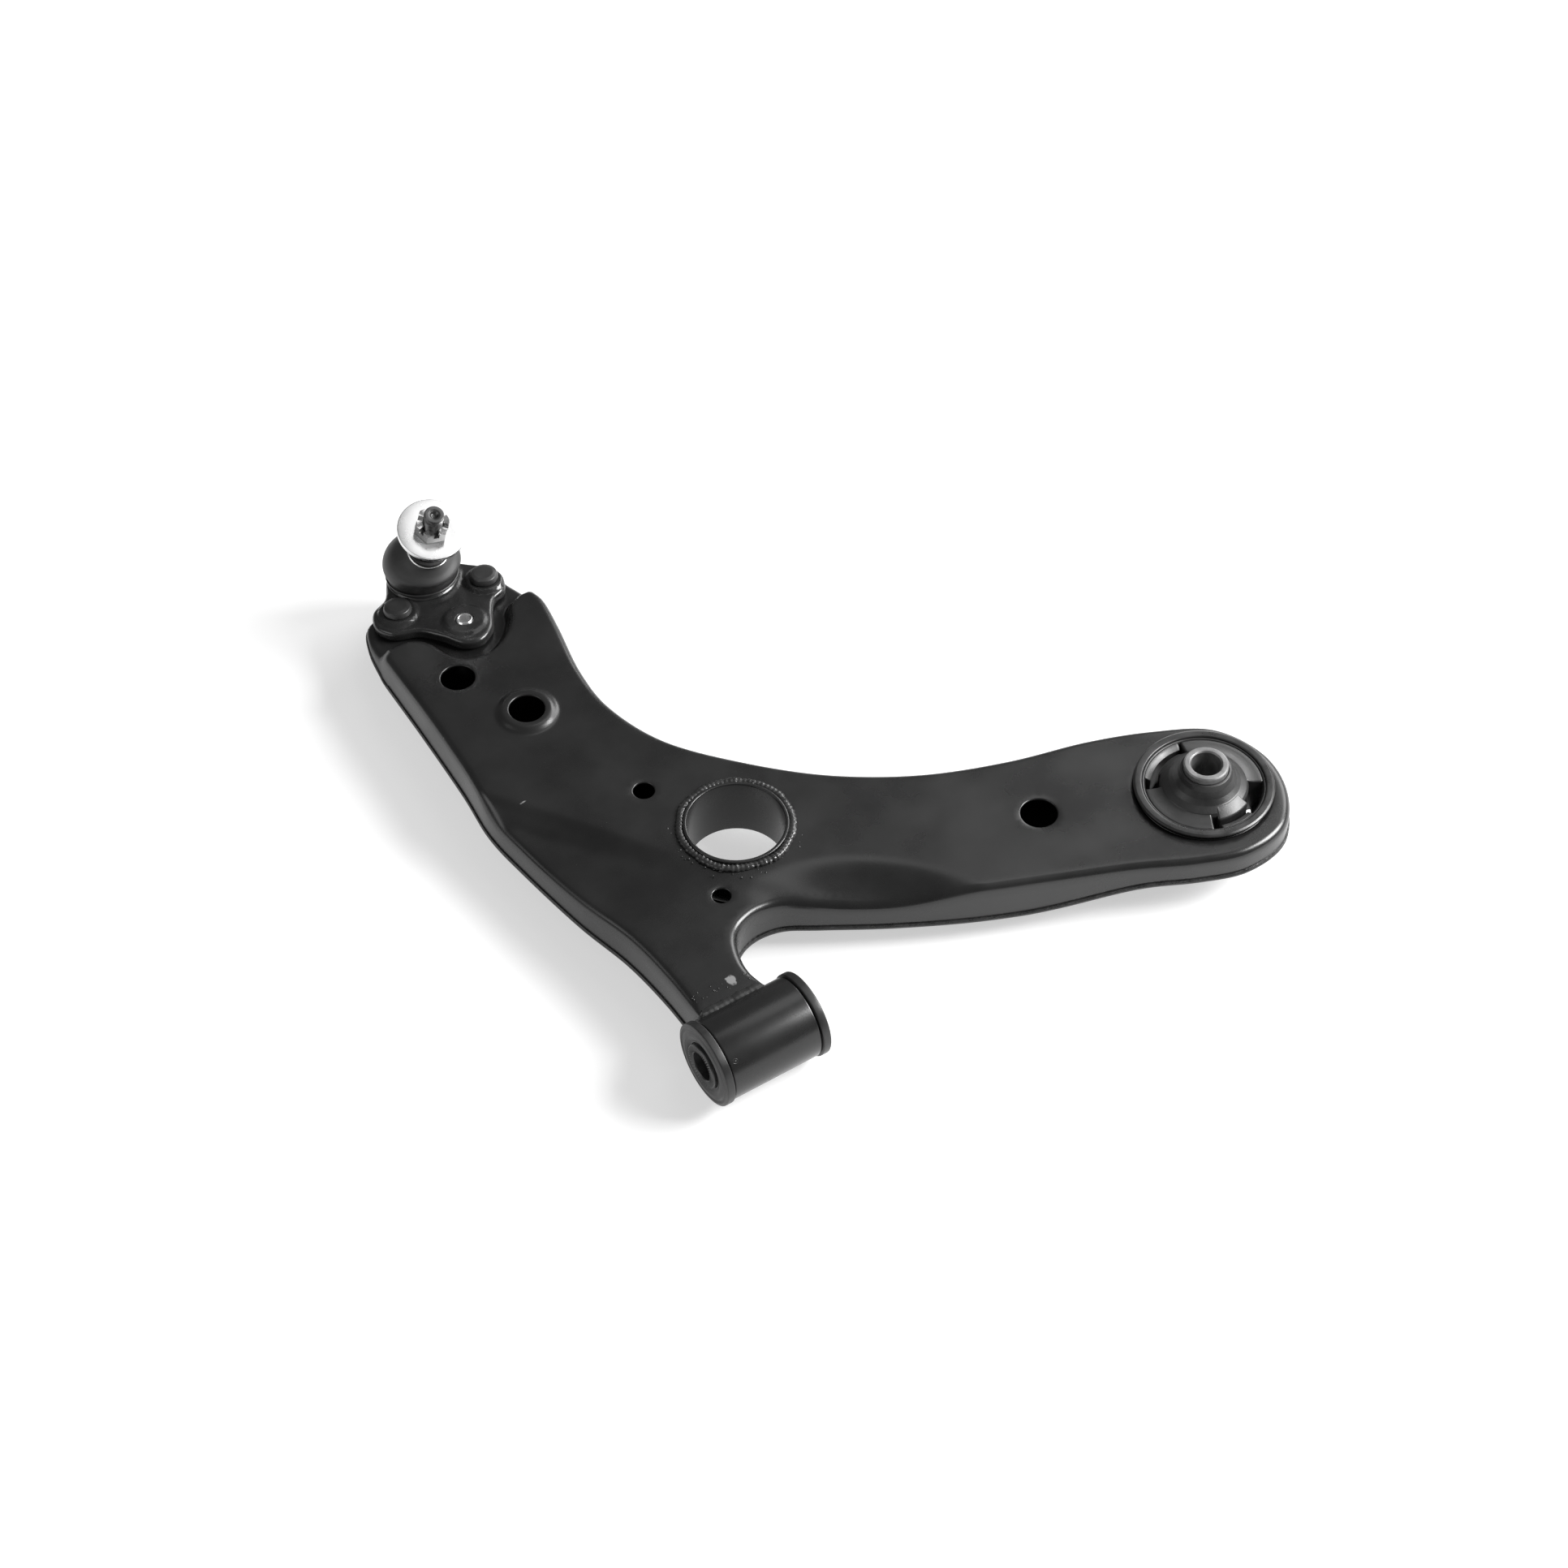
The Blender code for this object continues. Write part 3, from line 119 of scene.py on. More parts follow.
floor_mesh = bpy.data.meshes.new("floor")
sheet = bmesh.new()
bmesh.ops.create_grid(sheet, x_segments=8, y_segments=8, size=FLOOR_SIZE / 2)
sheet.to_mesh(floor_mesh)
sheet.free()
floor = bpy.data.objects.new("floor", floor_mesh)
bpy.context.scene.collection.objects.link(floor)
floor_look = bpy.data.materials.new("floor_white")
floor_look.use_nodes = True
floor_shader = floor_look.node_tree.nodes["Principled BSDF"]
floor_shader.inputs["Base Color"].default_value = (FLOOR_TONE, FLOOR_TONE, FLOOR_TONE, 1.0)
floor_shader.inputs["Emission Color"].default_value = (1.0, 1.0, 1.0, 1.0)
floor_shader.inputs["Emission Strength"].default_value = FLOOR_GLOW
floor_shader.inputs["Roughness"].default_value = 0.85
floor_shader.inputs["Specular IOR Level"].default_value = 0.1
floor_mesh.materials.append(floor_look)
print("floor", FLOOR_SIZE, "m across")


# %% Light
def panel(name, direction, distance, width, height, watts):
    """A soft area light that faces the arm from a direction."""
    data = bpy.data.lights.new(name, "AREA")
    data.shape = "RECTANGLE"
    data.size = width
    data.size_y = height
    data.energy = watts
    lamp = bpy.data.objects.new(name, data)
    bpy.context.scene.collection.objects.link(lamp)
    place = Vector(direction).normalized() * distance
    lamp.location = place
    lamp.rotation_euler = (-place).to_track_quat("-Z", "Y").to_euler()
    return lamp


panel("key_panel", (0.66, -0.42, 0.62), 1.9, 1.0, 0.8, 74)
panel("side_panel", (0.80, 0.28, 0.50), 2.2, 1.4, 1.0, 30)
panel("left_panel", (-0.85, 0.10, 0.55), 2.4, 1.6, 1.0, 10)
panel("top_panel", (0.33, 0.18, 0.93), 1.7, 0.7, 0.7, 2.4)
room = bpy.context.scene.world or bpy.data.worlds.new("room")
bpy.context.scene.world = room
room.use_nodes = True
room_light = room.node_tree.nodes["Background"]
room_light.inputs["Color"].default_value = (1.0, 1.0, 1.0, 1.0)
room_light.inputs["Strength"].default_value = 0.18

# %% [markdown]
# ## Finishes
# Five effects turn up on more than one finish: a fine grain, cloudy patches, worn edges that also
# carry painted glints, spots where the paint is gone, and the rings that a lathe leaves. Each is a
# node group, built once and placed in a material with that material's own values. They could be
# painted as images, but a formula stays sharp at any distance and follows the piece when it moves,
# because it is read in the piece's own coordinates.


# %% Node group helpers
def new_group(name, inputs, outputs):
    """An empty group with its sockets, and its two end nodes."""
    tree = bpy.data.node_groups.new(name, "ShaderNodeTree")
    for label, kind, value in inputs:
        socket = tree.interface.new_socket(label, in_out="INPUT", socket_type=kind)
        socket.default_value = value
    for label, kind in outputs:
        tree.interface.new_socket(label, in_out="OUTPUT", socket_type=kind)
    return tree, tree.nodes.new("NodeGroupInput"), tree.nodes.new("NodeGroupOutput")


def link(tree, source, output, target, socket):
    """Join an output to an input."""
    tree.links.new(source.outputs[output], target.inputs[socket])


def maths(tree, operation, first, second=0.0, clamp=False):
    """A Math node. Each operand is a number or a (node, output) pair."""
    node = tree.nodes.new("ShaderNodeMath")
    node.operation = operation
    node.use_clamp = clamp
    for slot, operand in enumerate((first, second)):
        if isinstance(operand, tuple):
            link(tree, *operand, node, slot)
        else:
            node.inputs[slot].default_value = operand
    return node


def noise_node(tree, scale, detail=3.0, roughness=0.5):
    """A Noise node in the piece's own coordinates; scale is a number or a pair."""
    place = tree.nodes.new("ShaderNodeTexCoord")
    node = tree.nodes.new("ShaderNodeTexNoise")
    link(tree, place, "Object", node, "Vector")
    node.inputs["Detail"].default_value = detail
    node.inputs["Roughness"].default_value = roughness
    if isinstance(scale, tuple):
        link(tree, *scale, node, "Scale")
    else:
        node.inputs["Scale"].default_value = scale
    return node


def remap(tree, source, low, high, to_low=0.0, to_high=1.0):
    """A clamped Map Range node fed by a (node, output) pair."""
    node = tree.nodes.new("ShaderNodeMapRange")
    link(tree, *source, node, "Value")
    for label, value in (("From Min", low), ("From Max", high), ("To Min", to_low), ("To Max", to_high)):
        if isinstance(value, tuple):
            link(tree, *value, node, label)
        else:
            node.inputs[label].default_value = value
    return node


FLOAT, COLOUR, VECTOR = "NodeSocketFloat", "NodeSocketColor", "NodeSocketVector"

# %% [markdown]
# Grain is the skin of a finish: orange peel in paint, sand-cast bumps, the dull bloom of
# moulded rubber. Two sizes of noise are added, so the eye finds no single repeat.

# %% Grain group
grain_group, start, end = new_group(
    "grain", [("Size", FLOAT, 600.0), ("Coarse share", FLOAT, 0.4)], [("Height", FLOAT)])
fine = noise_node(grain_group, (start, "Size"), 2.0)
wide_scale = maths(grain_group, "MULTIPLY", (start, "Size"), 0.22)
wide = noise_node(grain_group, (wide_scale, 0), 2.0)
coarse_part = maths(grain_group, "MULTIPLY", (wide, "Fac"), (start, "Coarse share"))
total = maths(grain_group, "ADD", (fine, "Fac"), (coarse_part, 0))
link(grain_group, total, 0, end, "Height")

# %% [markdown]
# Patches are the soft clouds that handling, oil and uneven paint leave on a flat face. They
# change the gloss more than the colour.

# %% Patches group
patch_group, start, end = new_group(
    "patches",
    [("Colour", COLOUR, (0.02, 0.02, 0.02, 1)), ("Cloud colour", COLOUR, (0.03, 0.03, 0.03, 1)),
     ("Size", FLOAT, 25.0), ("Smoothest", FLOAT, 0.3), ("Roughest", FLOAT, 0.4)],
    [("Colour", COLOUR), ("Roughness", FLOAT)])
cloud = noise_node(patch_group, (start, "Size"), 4.0, 0.55)
spread = remap(patch_group, (cloud, "Fac"), 0.38, 0.66)
tint = patch_group.nodes.new("ShaderNodeMix")
tint.data_type = "RGBA"
link(patch_group, spread, 0, tint, 0)
link(patch_group, start, "Colour", tint, 6)
link(patch_group, start, "Cloud colour", tint, 7)
gloss = remap(patch_group, (cloud, "Fac"), 0.34, 0.70, (start, "Smoothest"), (start, "Roughest"))
link(patch_group, tint, 2, end, "Colour")
link(patch_group, gloss, 0, end, "Roughness")

# %% [markdown]
# Worn edges are painted lighter where a surface is most convex, and the same mask paints glints
# that stand in for highlights there. Cycles measures that as pointiness, and a little noise breaks
# the line up so that it looks rubbed and not drawn.

# %% Worn edges and painted glints group
edge_wear_and_glint_group, start, end = new_group(
    "edge_wear_and_glints", [("Start", FLOAT, 0.53), ("Full", FLOAT, 0.60), ("Break up", FLOAT, 300.0)],
    [("Mask", FLOAT)])
shape = edge_wear_and_glint_group.nodes.new("ShaderNodeNewGeometry")
edge = remap(edge_wear_and_glint_group, (shape, "Pointiness"), (start, "Start"), (start, "Full"))
break_up_noise = noise_node(edge_wear_and_glint_group, (start, "Break up"), 3.0)
break_up_mask = remap(edge_wear_and_glint_group, (break_up_noise, "Fac"), 0.36, 0.58)
# Convex edges get the lighter colour: partly real wear, partly a painted glint.
wear_and_glint_mask = maths(edge_wear_and_glint_group, "MULTIPLY", (edge, 0), (break_up_mask, 0))
link(edge_wear_and_glint_group, wear_and_glint_mask, 0, end, "Mask")

# %% [markdown]
# A bare spot is a small ragged place where paint has chipped off. It is a distance from a
# point, bent by noise, so one group makes every chip from its place and its size.

# %% Bare spot group
spot_group, start, end = new_group(
    "bare_spot", [("Centre", VECTOR, (0, 0, 0)), ("Stretch", VECTOR, (1, 1, 1)),
                  ("Radius", FLOAT, 0.002)], [("Mask", FLOAT)])
where = spot_group.nodes.new("ShaderNodeTexCoord")
away = spot_group.nodes.new("ShaderNodeVectorMath")
away.operation = "SUBTRACT"
link(spot_group, where, "Object", away, 0)
link(spot_group, start, "Centre", away, 1)
scaled = spot_group.nodes.new("ShaderNodeVectorMath")
scaled.operation = "MULTIPLY"
link(spot_group, away, 0, scaled, 0)
link(spot_group, start, "Stretch", scaled, 1)
length = spot_group.nodes.new("ShaderNodeVectorMath")
length.operation = "LENGTH"
link(spot_group, scaled, 0, length, 0)
ragged = noise_node(spot_group, 420.0, 3.0)
wobble = maths(spot_group, "MULTIPLY", (ragged, "Fac"), 0.0028)
bent = maths(spot_group, "ADD", (length, "Value"), (wobble, 0))
inner = maths(spot_group, "ADD", (start, "Radius"), 0.0009)
outer = maths(spot_group, "ADD", (start, "Radius"), 0.0016)
spot = remap(spot_group, (bent, 0), (inner, 0), (outer, 0), 1.0, 0.0)
link(spot_group, spot, 0, end, "Mask")

# %% [markdown]
# A lathe tool leaves fine rings round the axis of whatever it cuts. The group measures the
# distance from that axis and runs it through a sine wave.

# %% Turned rings group
rings_group, start, end = new_group(
    "turned_rings", [("Axis point", VECTOR, (0, 0, 0)), ("Axis", VECTOR, (0, 0, 1)),
                     ("Rings per metre", FLOAT, 3000.0)], [("Height", FLOAT)])
where = rings_group.nodes.new("ShaderNodeTexCoord")
away = rings_group.nodes.new("ShaderNodeVectorMath")
away.operation = "SUBTRACT"
link(rings_group, where, "Object", away, 0)
link(rings_group, start, "Axis point", away, 1)
across = rings_group.nodes.new("ShaderNodeVectorMath")
across.operation = "CROSS_PRODUCT"
link(rings_group, away, 0, across, 0)
link(rings_group, start, "Axis", across, 1)
reach = rings_group.nodes.new("ShaderNodeVectorMath")
reach.operation = "LENGTH"
link(rings_group, across, 0, reach, 0)
turns = maths(rings_group, "MULTIPLY", (reach, "Value"), (start, "Rings per metre"))
jitter = noise_node(rings_group, 160.0, 2.0)
phase = maths(rings_group, "ADD", (turns, 0), (jitter, "Fac"))
wave_angle = maths(rings_group, "MULTIPLY", (phase, 0), 2 * pi)
wave = maths(rings_group, "SINE", (wave_angle, 0))
link(rings_group, wave, 0, end, "Height")
print("groups:", [g.name for g in bpy.data.node_groups])


# %% [markdown]
# ## Mixing a finish
# Every finish is one Principled shader. Values that are the same all over are set on the
# shader itself, and only what changes over the surface is linked in from the groups.

# %% Finish builder
def place_group(tree, group, **values):
    """One use of a group, with its inputs set."""
    node = tree.nodes.new("ShaderNodeGroup")
    node.node_tree = group
    for label, value in values.items():
        node.inputs[label.replace("_", " ")].default_value = value
    return node


def tone(value, warmth=0.0):
    """A grey, very slightly warm where asked."""
    return (value * (1 + warmth), value, value * (1 - warmth), 1.0)


def finish(name, colour, cloud_colour, roughness, metallic=0.0, cloud_size=25.0,
           grain=600.0, grain_depth=0.00002, coarse=0.4, wear_and_glint=None, spots=(), rings=None):
    """A finish from its colours, its (smoothest, roughest) pair and the effects it shows."""
    made = bpy.data.materials.new(name)
    made.use_nodes = True
    tree = made.node_tree
    shader = tree.nodes["Principled BSDF"]
    shader.inputs["Metallic"].default_value = metallic
    base = place_group(tree, patch_group, Size=cloud_size, Colour=colour, Cloud_colour=cloud_colour,
                       Smoothest=roughness[0], Roughest=roughness[1])
    colour_from, rough_from = (base, "Colour"), (base, "Roughness")
    masks = []
    # Convex edges are painted in the given tone: partly real wear, partly a painted glint standing in for a
    # highlight.
    if wear_and_glint:
        wear_and_glint_tone, wear_and_glint_start, wear_and_glint_full = wear_and_glint
        masks.append((place_group(tree, edge_wear_and_glint_group, Start=wear_and_glint_start, Full=wear_and_glint_full), wear_and_glint_tone, 0.32))
    for centre, stretch, radius, spot_tone in spots:
        node = place_group(tree, spot_group, Centre=centre, Stretch=stretch, Radius=radius)
        masks.append((node, spot_tone, 0.45))
    for mask, shade, rough in masks:
        mixed = tree.nodes.new("ShaderNodeMix")
        mixed.data_type = "RGBA"
        link(tree, mask, "Mask", mixed, 0)
        link(tree, *colour_from, mixed, 6)
        mixed.inputs[7].default_value = shade
        colour_from = (mixed, 2)
        level = tree.nodes.new("ShaderNodeMix")
        link(tree, mask, "Mask", level, 0)
        link(tree, *rough_from, level, 2)
        level.inputs[3].default_value = rough
        rough_from = (level, 0)
    link(tree, *colour_from, shader, "Base Color")
    link(tree, *rough_from, shader, "Roughness")
    skin = place_group(tree, grain_group, Size=grain, Coarse_share=coarse)
    bump = tree.nodes.new("ShaderNodeBump")
    bump.inputs["Distance"].default_value = grain_depth
    link(tree, skin, "Height", bump, "Height")
    if rings:
        axis_point, axis, per_metre, depth = rings
        turned_rings = place_group(tree, rings_group, Axis_point=axis_point, Axis=axis,
                                   Rings_per_metre=per_metre)
        second = tree.nodes.new("ShaderNodeBump")
        second.inputs["Distance"].default_value = depth
        link(tree, turned_rings, "Height", second, "Height")
        link(tree, bump, "Normal", second, "Normal")
        bump = second
    link(tree, bump, "Normal", shader, "Normal")
    return made


def at(x, y, z):
    """A point of the drawing as the place it has in the model."""
    return tuple(drawing @ (Vector((x, y, z)) * MM))


# %% [markdown]
# The arm is dipped in black primer and comes out half glossy. It has a few chips: one on the
# neck by the weld, a short scratch on the wide part and one beside the centre tube.

# %% Paints
CHIP = tone(0.18)
arm_paint = finish(
    "arm_paint", tone(0.0080), tone(0.0110), (0.24, 0.34), cloud_size=22.0, grain=900.0,
    grain_depth=0.000012, coarse=0.9,
    spots=[(at(4.2, 30.0, 40.2), (1.0, 0.8, 0.2), 0.0027, CHIP),
           (at(-24.5, 197.3, 42.0), (0.6, 2.6, 1.0), 0.0012, CHIP),
           (at(-37.0, 264.0, 40.0), (1.2, 1.2, 1.0), 0.0004, CHIP)])
tube_paint = finish("tube_paint", tone(0.0080), tone(0.0105), (0.24, 0.30), cloud_size=30.0,
                    grain=1000.0, grain_depth=0.000008)
# The weld's convex bumps and drops are painted lighter: partly bare steel, partly painted glints.
weld_paint = finish("weld_paint", tone(0.014), tone(0.024), (0.20, 0.36), cloud_size=140.0,
                    grain=700.0, grain_depth=0.00009, wear_and_glint=(tone(0.16), 0.60, 0.78))
forged_paint = finish("forged_paint", tone(0.012), tone(0.019), (0.20, 0.34), cloud_size=60.0,
                      grain=380.0, grain_depth=0.00011, coarse=1.2)
fastener_paint = finish("fastener_paint", tone(0.020), tone(0.028), (0.32, 0.44), cloud_size=90.0,
                        grain=800.0, grain_depth=0.00002)

# %% [markdown]
# Rubber is darker and duller than paint, with a grey bloom. The metals are bare: zinc on the
# castle nut, turned aluminium on the disc, and steel that has been phosphated dark.

# %% Rubbers and metals
bush_rubber = finish("bush_rubber", tone(0.010), tone(0.017), (0.34, 0.50), cloud_size=70.0,
                     grain=1300.0, grain_depth=0.00003, coarse=0.8)
boot_rubber = finish("boot_rubber", tone(0.019), tone(0.027), (0.44, 0.56), cloud_size=45.0,
                     grain=1500.0, grain_depth=0.00002, coarse=0.6)
# The can's convex lip edges are painted lighter: partly worn metal, partly a painted highlight.
can_steel = finish("can_steel", tone(0.014), tone(0.022), (0.26, 0.40), metallic=0.2,
                   cloud_size=80.0, grain=900.0, grain_depth=0.00002, wear_and_glint=(tone(0.40), 0.56, 0.66))
sleeve_steel = finish("sleeve_steel", tone(0.16), tone(0.22), (0.40, 0.55), metallic=0.75,
                      cloud_size=160.0, grain=1500.0, grain_depth=0.00004)
dark_steel = finish("dark_steel", tone(0.045), tone(0.07), (0.30, 0.45), metallic=0.6,
                    cloud_size=120.0, grain=1200.0, grain_depth=0.00003)
stud_steel = finish("stud_steel", tone(0.08), tone(0.13), (0.26, 0.38), metallic=0.9,
                    cloud_size=220.0, grain=1400.0, grain_depth=0.00002)
bright_zinc = finish("bright_zinc", tone(0.74), tone(0.84), (0.16, 0.28), metallic=1.0,
                     cloud_size=130.0, grain=900.0, grain_depth=0.00002)
seat_polymer = finish("seat_polymer", tone(0.52, 0.06), tone(0.58, 0.06), (0.40, 0.50),
                      cloud_size=60.0, grain=900.0)
turned_aluminium = finish(
    "turned_aluminium", tone(0.80), tone(0.86), (0.24, 0.32), metallic=1.0, cloud_size=60.0,
    grain=1400.0, grain_depth=0.000004,
    rings=((0.0, 0.0, 0.0), (0.0, 0.0, 1.0), 2600.0, 0.0000015))
print("finishes:", len(bpy.data.materials))


# %% [markdown]
# ## Tools for making meshes
# Most pieces are one of four kinds. A turned piece is an outline swept round an axis. A plate
# is a flat outline with thickness and rounded edges. A bead is a tube along a path. A cut
# piece starts as a prism that other shapes cut into. Each kind gets one function.

# %% Curves in a plane
def smooth(value):
    """0 below 0, 1 above 1, and an even curve between; numbers or arrays."""
    t = np.clip(value, 0.0, 1.0)
    return t * t * (3.0 - 2.0 * t)


def splined(points, closed, step):
    """Points about a step apart along a smooth curve through the given ones."""
    count = len(points)
    out = []
    for i in range(count if closed else count - 1):
        picks = [(i + k) % count if closed else min(max(i + k, 0), count - 1) for k in (-1, 0, 1, 2)]
        a, b, c, d = (np.array(points[pick], float) for pick in picks)
        for t in np.arange(0.0, 1.0, 1.0 / max(1, round(hypot(*(c - b)[:2]) / step))):
            out.append(0.5 * ((2 * b) + (c - a) * t + (2 * a - 5 * b + 4 * c - d) * t ** 2
                              + (3 * b - a - 3 * c + d) * t ** 3))
    if not closed:
        out.append(np.array(points[-1], float))
    return np.array(out)


def arc(centre, radius, start_angle, end_angle, steps):
    """Points on an arc, angles in degrees."""
    angles = np.radians(np.linspace(start_angle, end_angle, steps + 1))
    return np.stack([centre[0] + radius * np.cos(angles), centre[1] + radius * np.sin(angles)], 1)


def inside(loop, points):
    """For each point, whether it lies in a closed loop."""
    x, y = points[:, 0][:, None], points[:, 1][:, None]
    ax, ay = loop[:, 0], loop[:, 1]
    bx, by = np.roll(ax, -1), np.roll(ay, -1)
    crosses = (ay > y) != (by > y)
    rise = np.where(by == ay, 1.0, by - ay)
    return np.sum(crosses & (x < ax + (y - ay) * (bx - ax) / rise), axis=1) % 2 == 1


def nearest(loop, points):
    """Distance from each point to the closest point of a loop."""
    gaps = points[:, None, :2] - loop[None, :, :2]
    return np.sqrt((gaps ** 2).sum(2).min(1))


def inward(points, distances):
    """A closed anticlockwise loop moved inwards, each point by its own distance."""
    points = np.asarray(points, float)
    ahead = np.roll(points, -1, 0) - points
    ahead /= np.linalg.norm(ahead, axis=1)[:, None]
    behind = np.roll(ahead, 1, 0)
    tangent = ahead + behind
    tangent /= np.linalg.norm(tangent, axis=1)[:, None]
    widen = 1.0 / np.maximum(0.6, np.sqrt(np.maximum(0.0, (1 + (ahead * behind).sum(1)) / 2)))
    normal = np.stack([-tangent[:, 1], tangent[:, 0]], 1)
    return points + normal * (np.asarray(distances) * widen)[:, None]


def inset_ring(loop, distances):
    """A loop moved inwards without the points that would fold over at a sharp corner, and
    which of the points are kept."""
    moved = inward(loop, distances)
    ahead = np.roll(loop, -1, 0)
    dense = np.concatenate([loop + (ahead - loop) * t for t in (0.0, 0.25, 0.5, 0.75)])
    kept = nearest(dense, moved) >= 0.9 * np.asarray(distances) - 1e-6
    return moved[kept], kept


# %% [markdown]
# A real edge is never perfectly sharp: a tool, a press or a mould leaves a small radius, and
# the radius is what catches the light. `rounded` takes the corners of an outline, each with
# its own radius, and swaps every corner for a short curve.

# %% Rounded outlines
def rounded(corners, steps=4, closed=True):
    """(r, z) points from (r, z, radius) corners."""
    out = []
    count = len(corners)
    for i, (x, z, radius) in enumerate(corners):
        here = Vector((x, z))
        if radius <= 0 or (not closed and i in (0, count - 1)):
            out.append((x, z))
            continue
        before = Vector(corners[i - 1][:2]) - here
        after = Vector(corners[(i + 1) % count][:2]) - here
        half = before.angle(after) / 2
        run = min(radius / max(tan(half), 0.05), 0.48 * before.length, 0.48 * after.length)
        first, last = here + before.normalized() * run, here + after.normalized() * run
        for k in range(steps + 1):
            t = k / steps
            out.append(tuple(first * (1 - t) ** 2 + here * 2 * t * (1 - t) + last * t ** 2))
    return out


# %% Meshes and pieces
def as_mesh(name, verts, faces):
    """A closed mesh in metres from points in millimetres, its faces turned outwards."""
    bm = bmesh.new()
    made = [bm.verts.new(Vector(v) * MM) for v in verts]
    for face in faces:
        bm.faces.new([made[i] for i in face])
    bmesh.ops.remove_doubles(bm, verts=bm.verts, dist=1e-7)
    bmesh.ops.recalc_face_normals(bm, faces=bm.faces)
    mesh = bpy.data.meshes.new(name)
    bm.to_mesh(mesh)
    bm.free()
    return mesh


def piece(mesh, where, look, body=None, stands_for=(), crease=38.0):
    """Put a mesh in place, give it its finish and let it ride on its body."""
    mesh.transform(where)
    mesh.materials.clear()
    mesh.materials.append(look)
    mesh.shade_smooth()
    mesh.set_sharp_from_angle(angle=radians(crease))
    obj = bpy.data.objects.new(mesh.name, mesh)
    bpy.context.scene.collection.objects.link(obj)
    if body:
        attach(obj, body)
    if stands_for:
        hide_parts(*stands_for)
    return obj


def baked(obj):
    """The mesh an object has after its modifiers; the object is removed."""
    bpy.context.view_layer.update()
    seen = obj.evaluated_get(bpy.context.evaluated_depsgraph_get())
    mesh = bpy.data.meshes.new_from_object(seen)
    mesh.name = obj.name
    bpy.data.objects.remove(obj, do_unlink=True)
    return mesh


def loose(mesh):
    """A bare object for a mesh that modifiers will work on."""
    obj = bpy.data.objects.new(mesh.name, mesh)
    bpy.context.scene.collection.objects.link(obj)
    return obj


# %% Turned pieces
def turned(name, profile, sides=96, shape=None):
    """A profile of (r, z) points swept round Z. `shape` may move each point."""
    verts, rings, faces = [], [], []
    for r, z in profile:
        if r < 1e-6:
            rings.append([len(verts)])
            verts.append((0.0, 0.0, z))
            continue
        rings.append(list(range(len(verts), len(verts) + sides)))
        for k in range(sides):
            angle = 2 * pi * k / sides
            radius, height = shape(r, angle, z) if shape else (r, z)
            verts.append((radius * cos(angle), radius * sin(angle), height))
    closed = profile[0][0] > 1e-6 or profile[-1][0] > 1e-6
    for a, b in zip(rings, rings[1:] + ([rings[0]] if closed else [])):
        if len(a) == 1 and len(b) == 1:
            continue
        for k in range(sides):
            j = (k + 1) % sides
            low = [a[0]] if len(a) == 1 else [a[k], a[j]]
            high = [b[0]] if len(b) == 1 else [b[j], b[k]]
            faces.append(low + high)
    return as_mesh(name, verts, faces)


def ring_corners(inner, outer, low, high, radius):
    """The corners of a plain ring's section."""
    return [(inner, high, radius), (outer, high, radius), (outer, low, radius), (inner, low, radius)]


# %% [markdown]
# A plate or a pressing is netted with triangles: rings of points along its edges and round
# its holes, and an even lattice between them, joined by a Delaunay triangulation. The heights
# come from a formula afterwards, so one net serves the top and the bottom of a plate.

# %% Nets and plates
def hole_ring(x, y, radius, count):
    """Points round a hole."""
    return arc((x, y), radius, 0.0, 360.0, count)[:-1]


def lattice(loop, step, rows_shift=0.5):
    """An even triangular lattice over a loop's extent."""
    low, high = loop.min(0), loop.max(0)
    ys = np.arange(low[1] + step / 2, high[1], step * sqrt(3) / 2)
    rows = []
    for i, y in enumerate(ys):
        xs = np.arange(low[0] + step * (1.0 if i % 2 else rows_shift), high[0], step)
        rows.append(np.stack([xs, np.full(len(xs), y)], 1))
    return np.concatenate(rows)


def net(outer_rings, hole_rings, step, fine_step=None, fine_zone=None):
    """Triangles over a region. outer_rings run from the rim inwards, and each hole is a list
    of rings that runs towards its edge. Returns the points, triangles and each ring's slice."""
    rings = list(outer_rings) + [ring for hole in hole_rings for ring in hole]
    core = outer_rings[-1]
    spots = lattice(core, step)
    if fine_zone is not None:
        fine_spots = lattice(core, fine_step)
        spots = np.concatenate([spots[~fine_zone(spots)], fine_spots[fine_zone(fine_spots)]])
    spots = spots[inside(core, spots)]
    gap = np.full(len(spots), step)
    if fine_zone is not None:
        gap[fine_zone(spots)] = fine_step
    keep = nearest(core, spots) > 0.6 * gap
    for hole in hole_rings:
        keep &= ~inside(hole[0], spots) & (nearest(hole[0], spots) > 0.6 * gap)
    spots = spots[keep]
    points = np.concatenate(rings + [spots])
    edges, first, slices = [], 0, []
    for ring in rings:
        count = len(ring)
        edges += [(first + i, first + (i + 1) % count) for i in range(count)]
        slices.append(list(range(first, first + count)))
        first += count
    found, _, faces, sources, _, _ = delaunay_2d_cdt([Vector(p) for p in points], edges, [], 1, 1e-5)
    crossed = [tuple(round(v, 1) for v in p) for p, origin in zip(found, sources) if not origin]
    if crossed:
        print("rings cross at", crossed[:8])
    source = [origin[0] for origin in sources]
    middles = np.array([[sum(found[i].x for i in f) / 3, sum(found[i].y for i in f) / 3] for f in faces])
    solid = np.ones(len(faces), bool)
    for hole in hole_rings:
        solid &= ~inside(hole[-1], middles)
    triangles = [[source[i] for i in face] for face, use in zip(faces, solid) if use]
    return points, triangles, slices


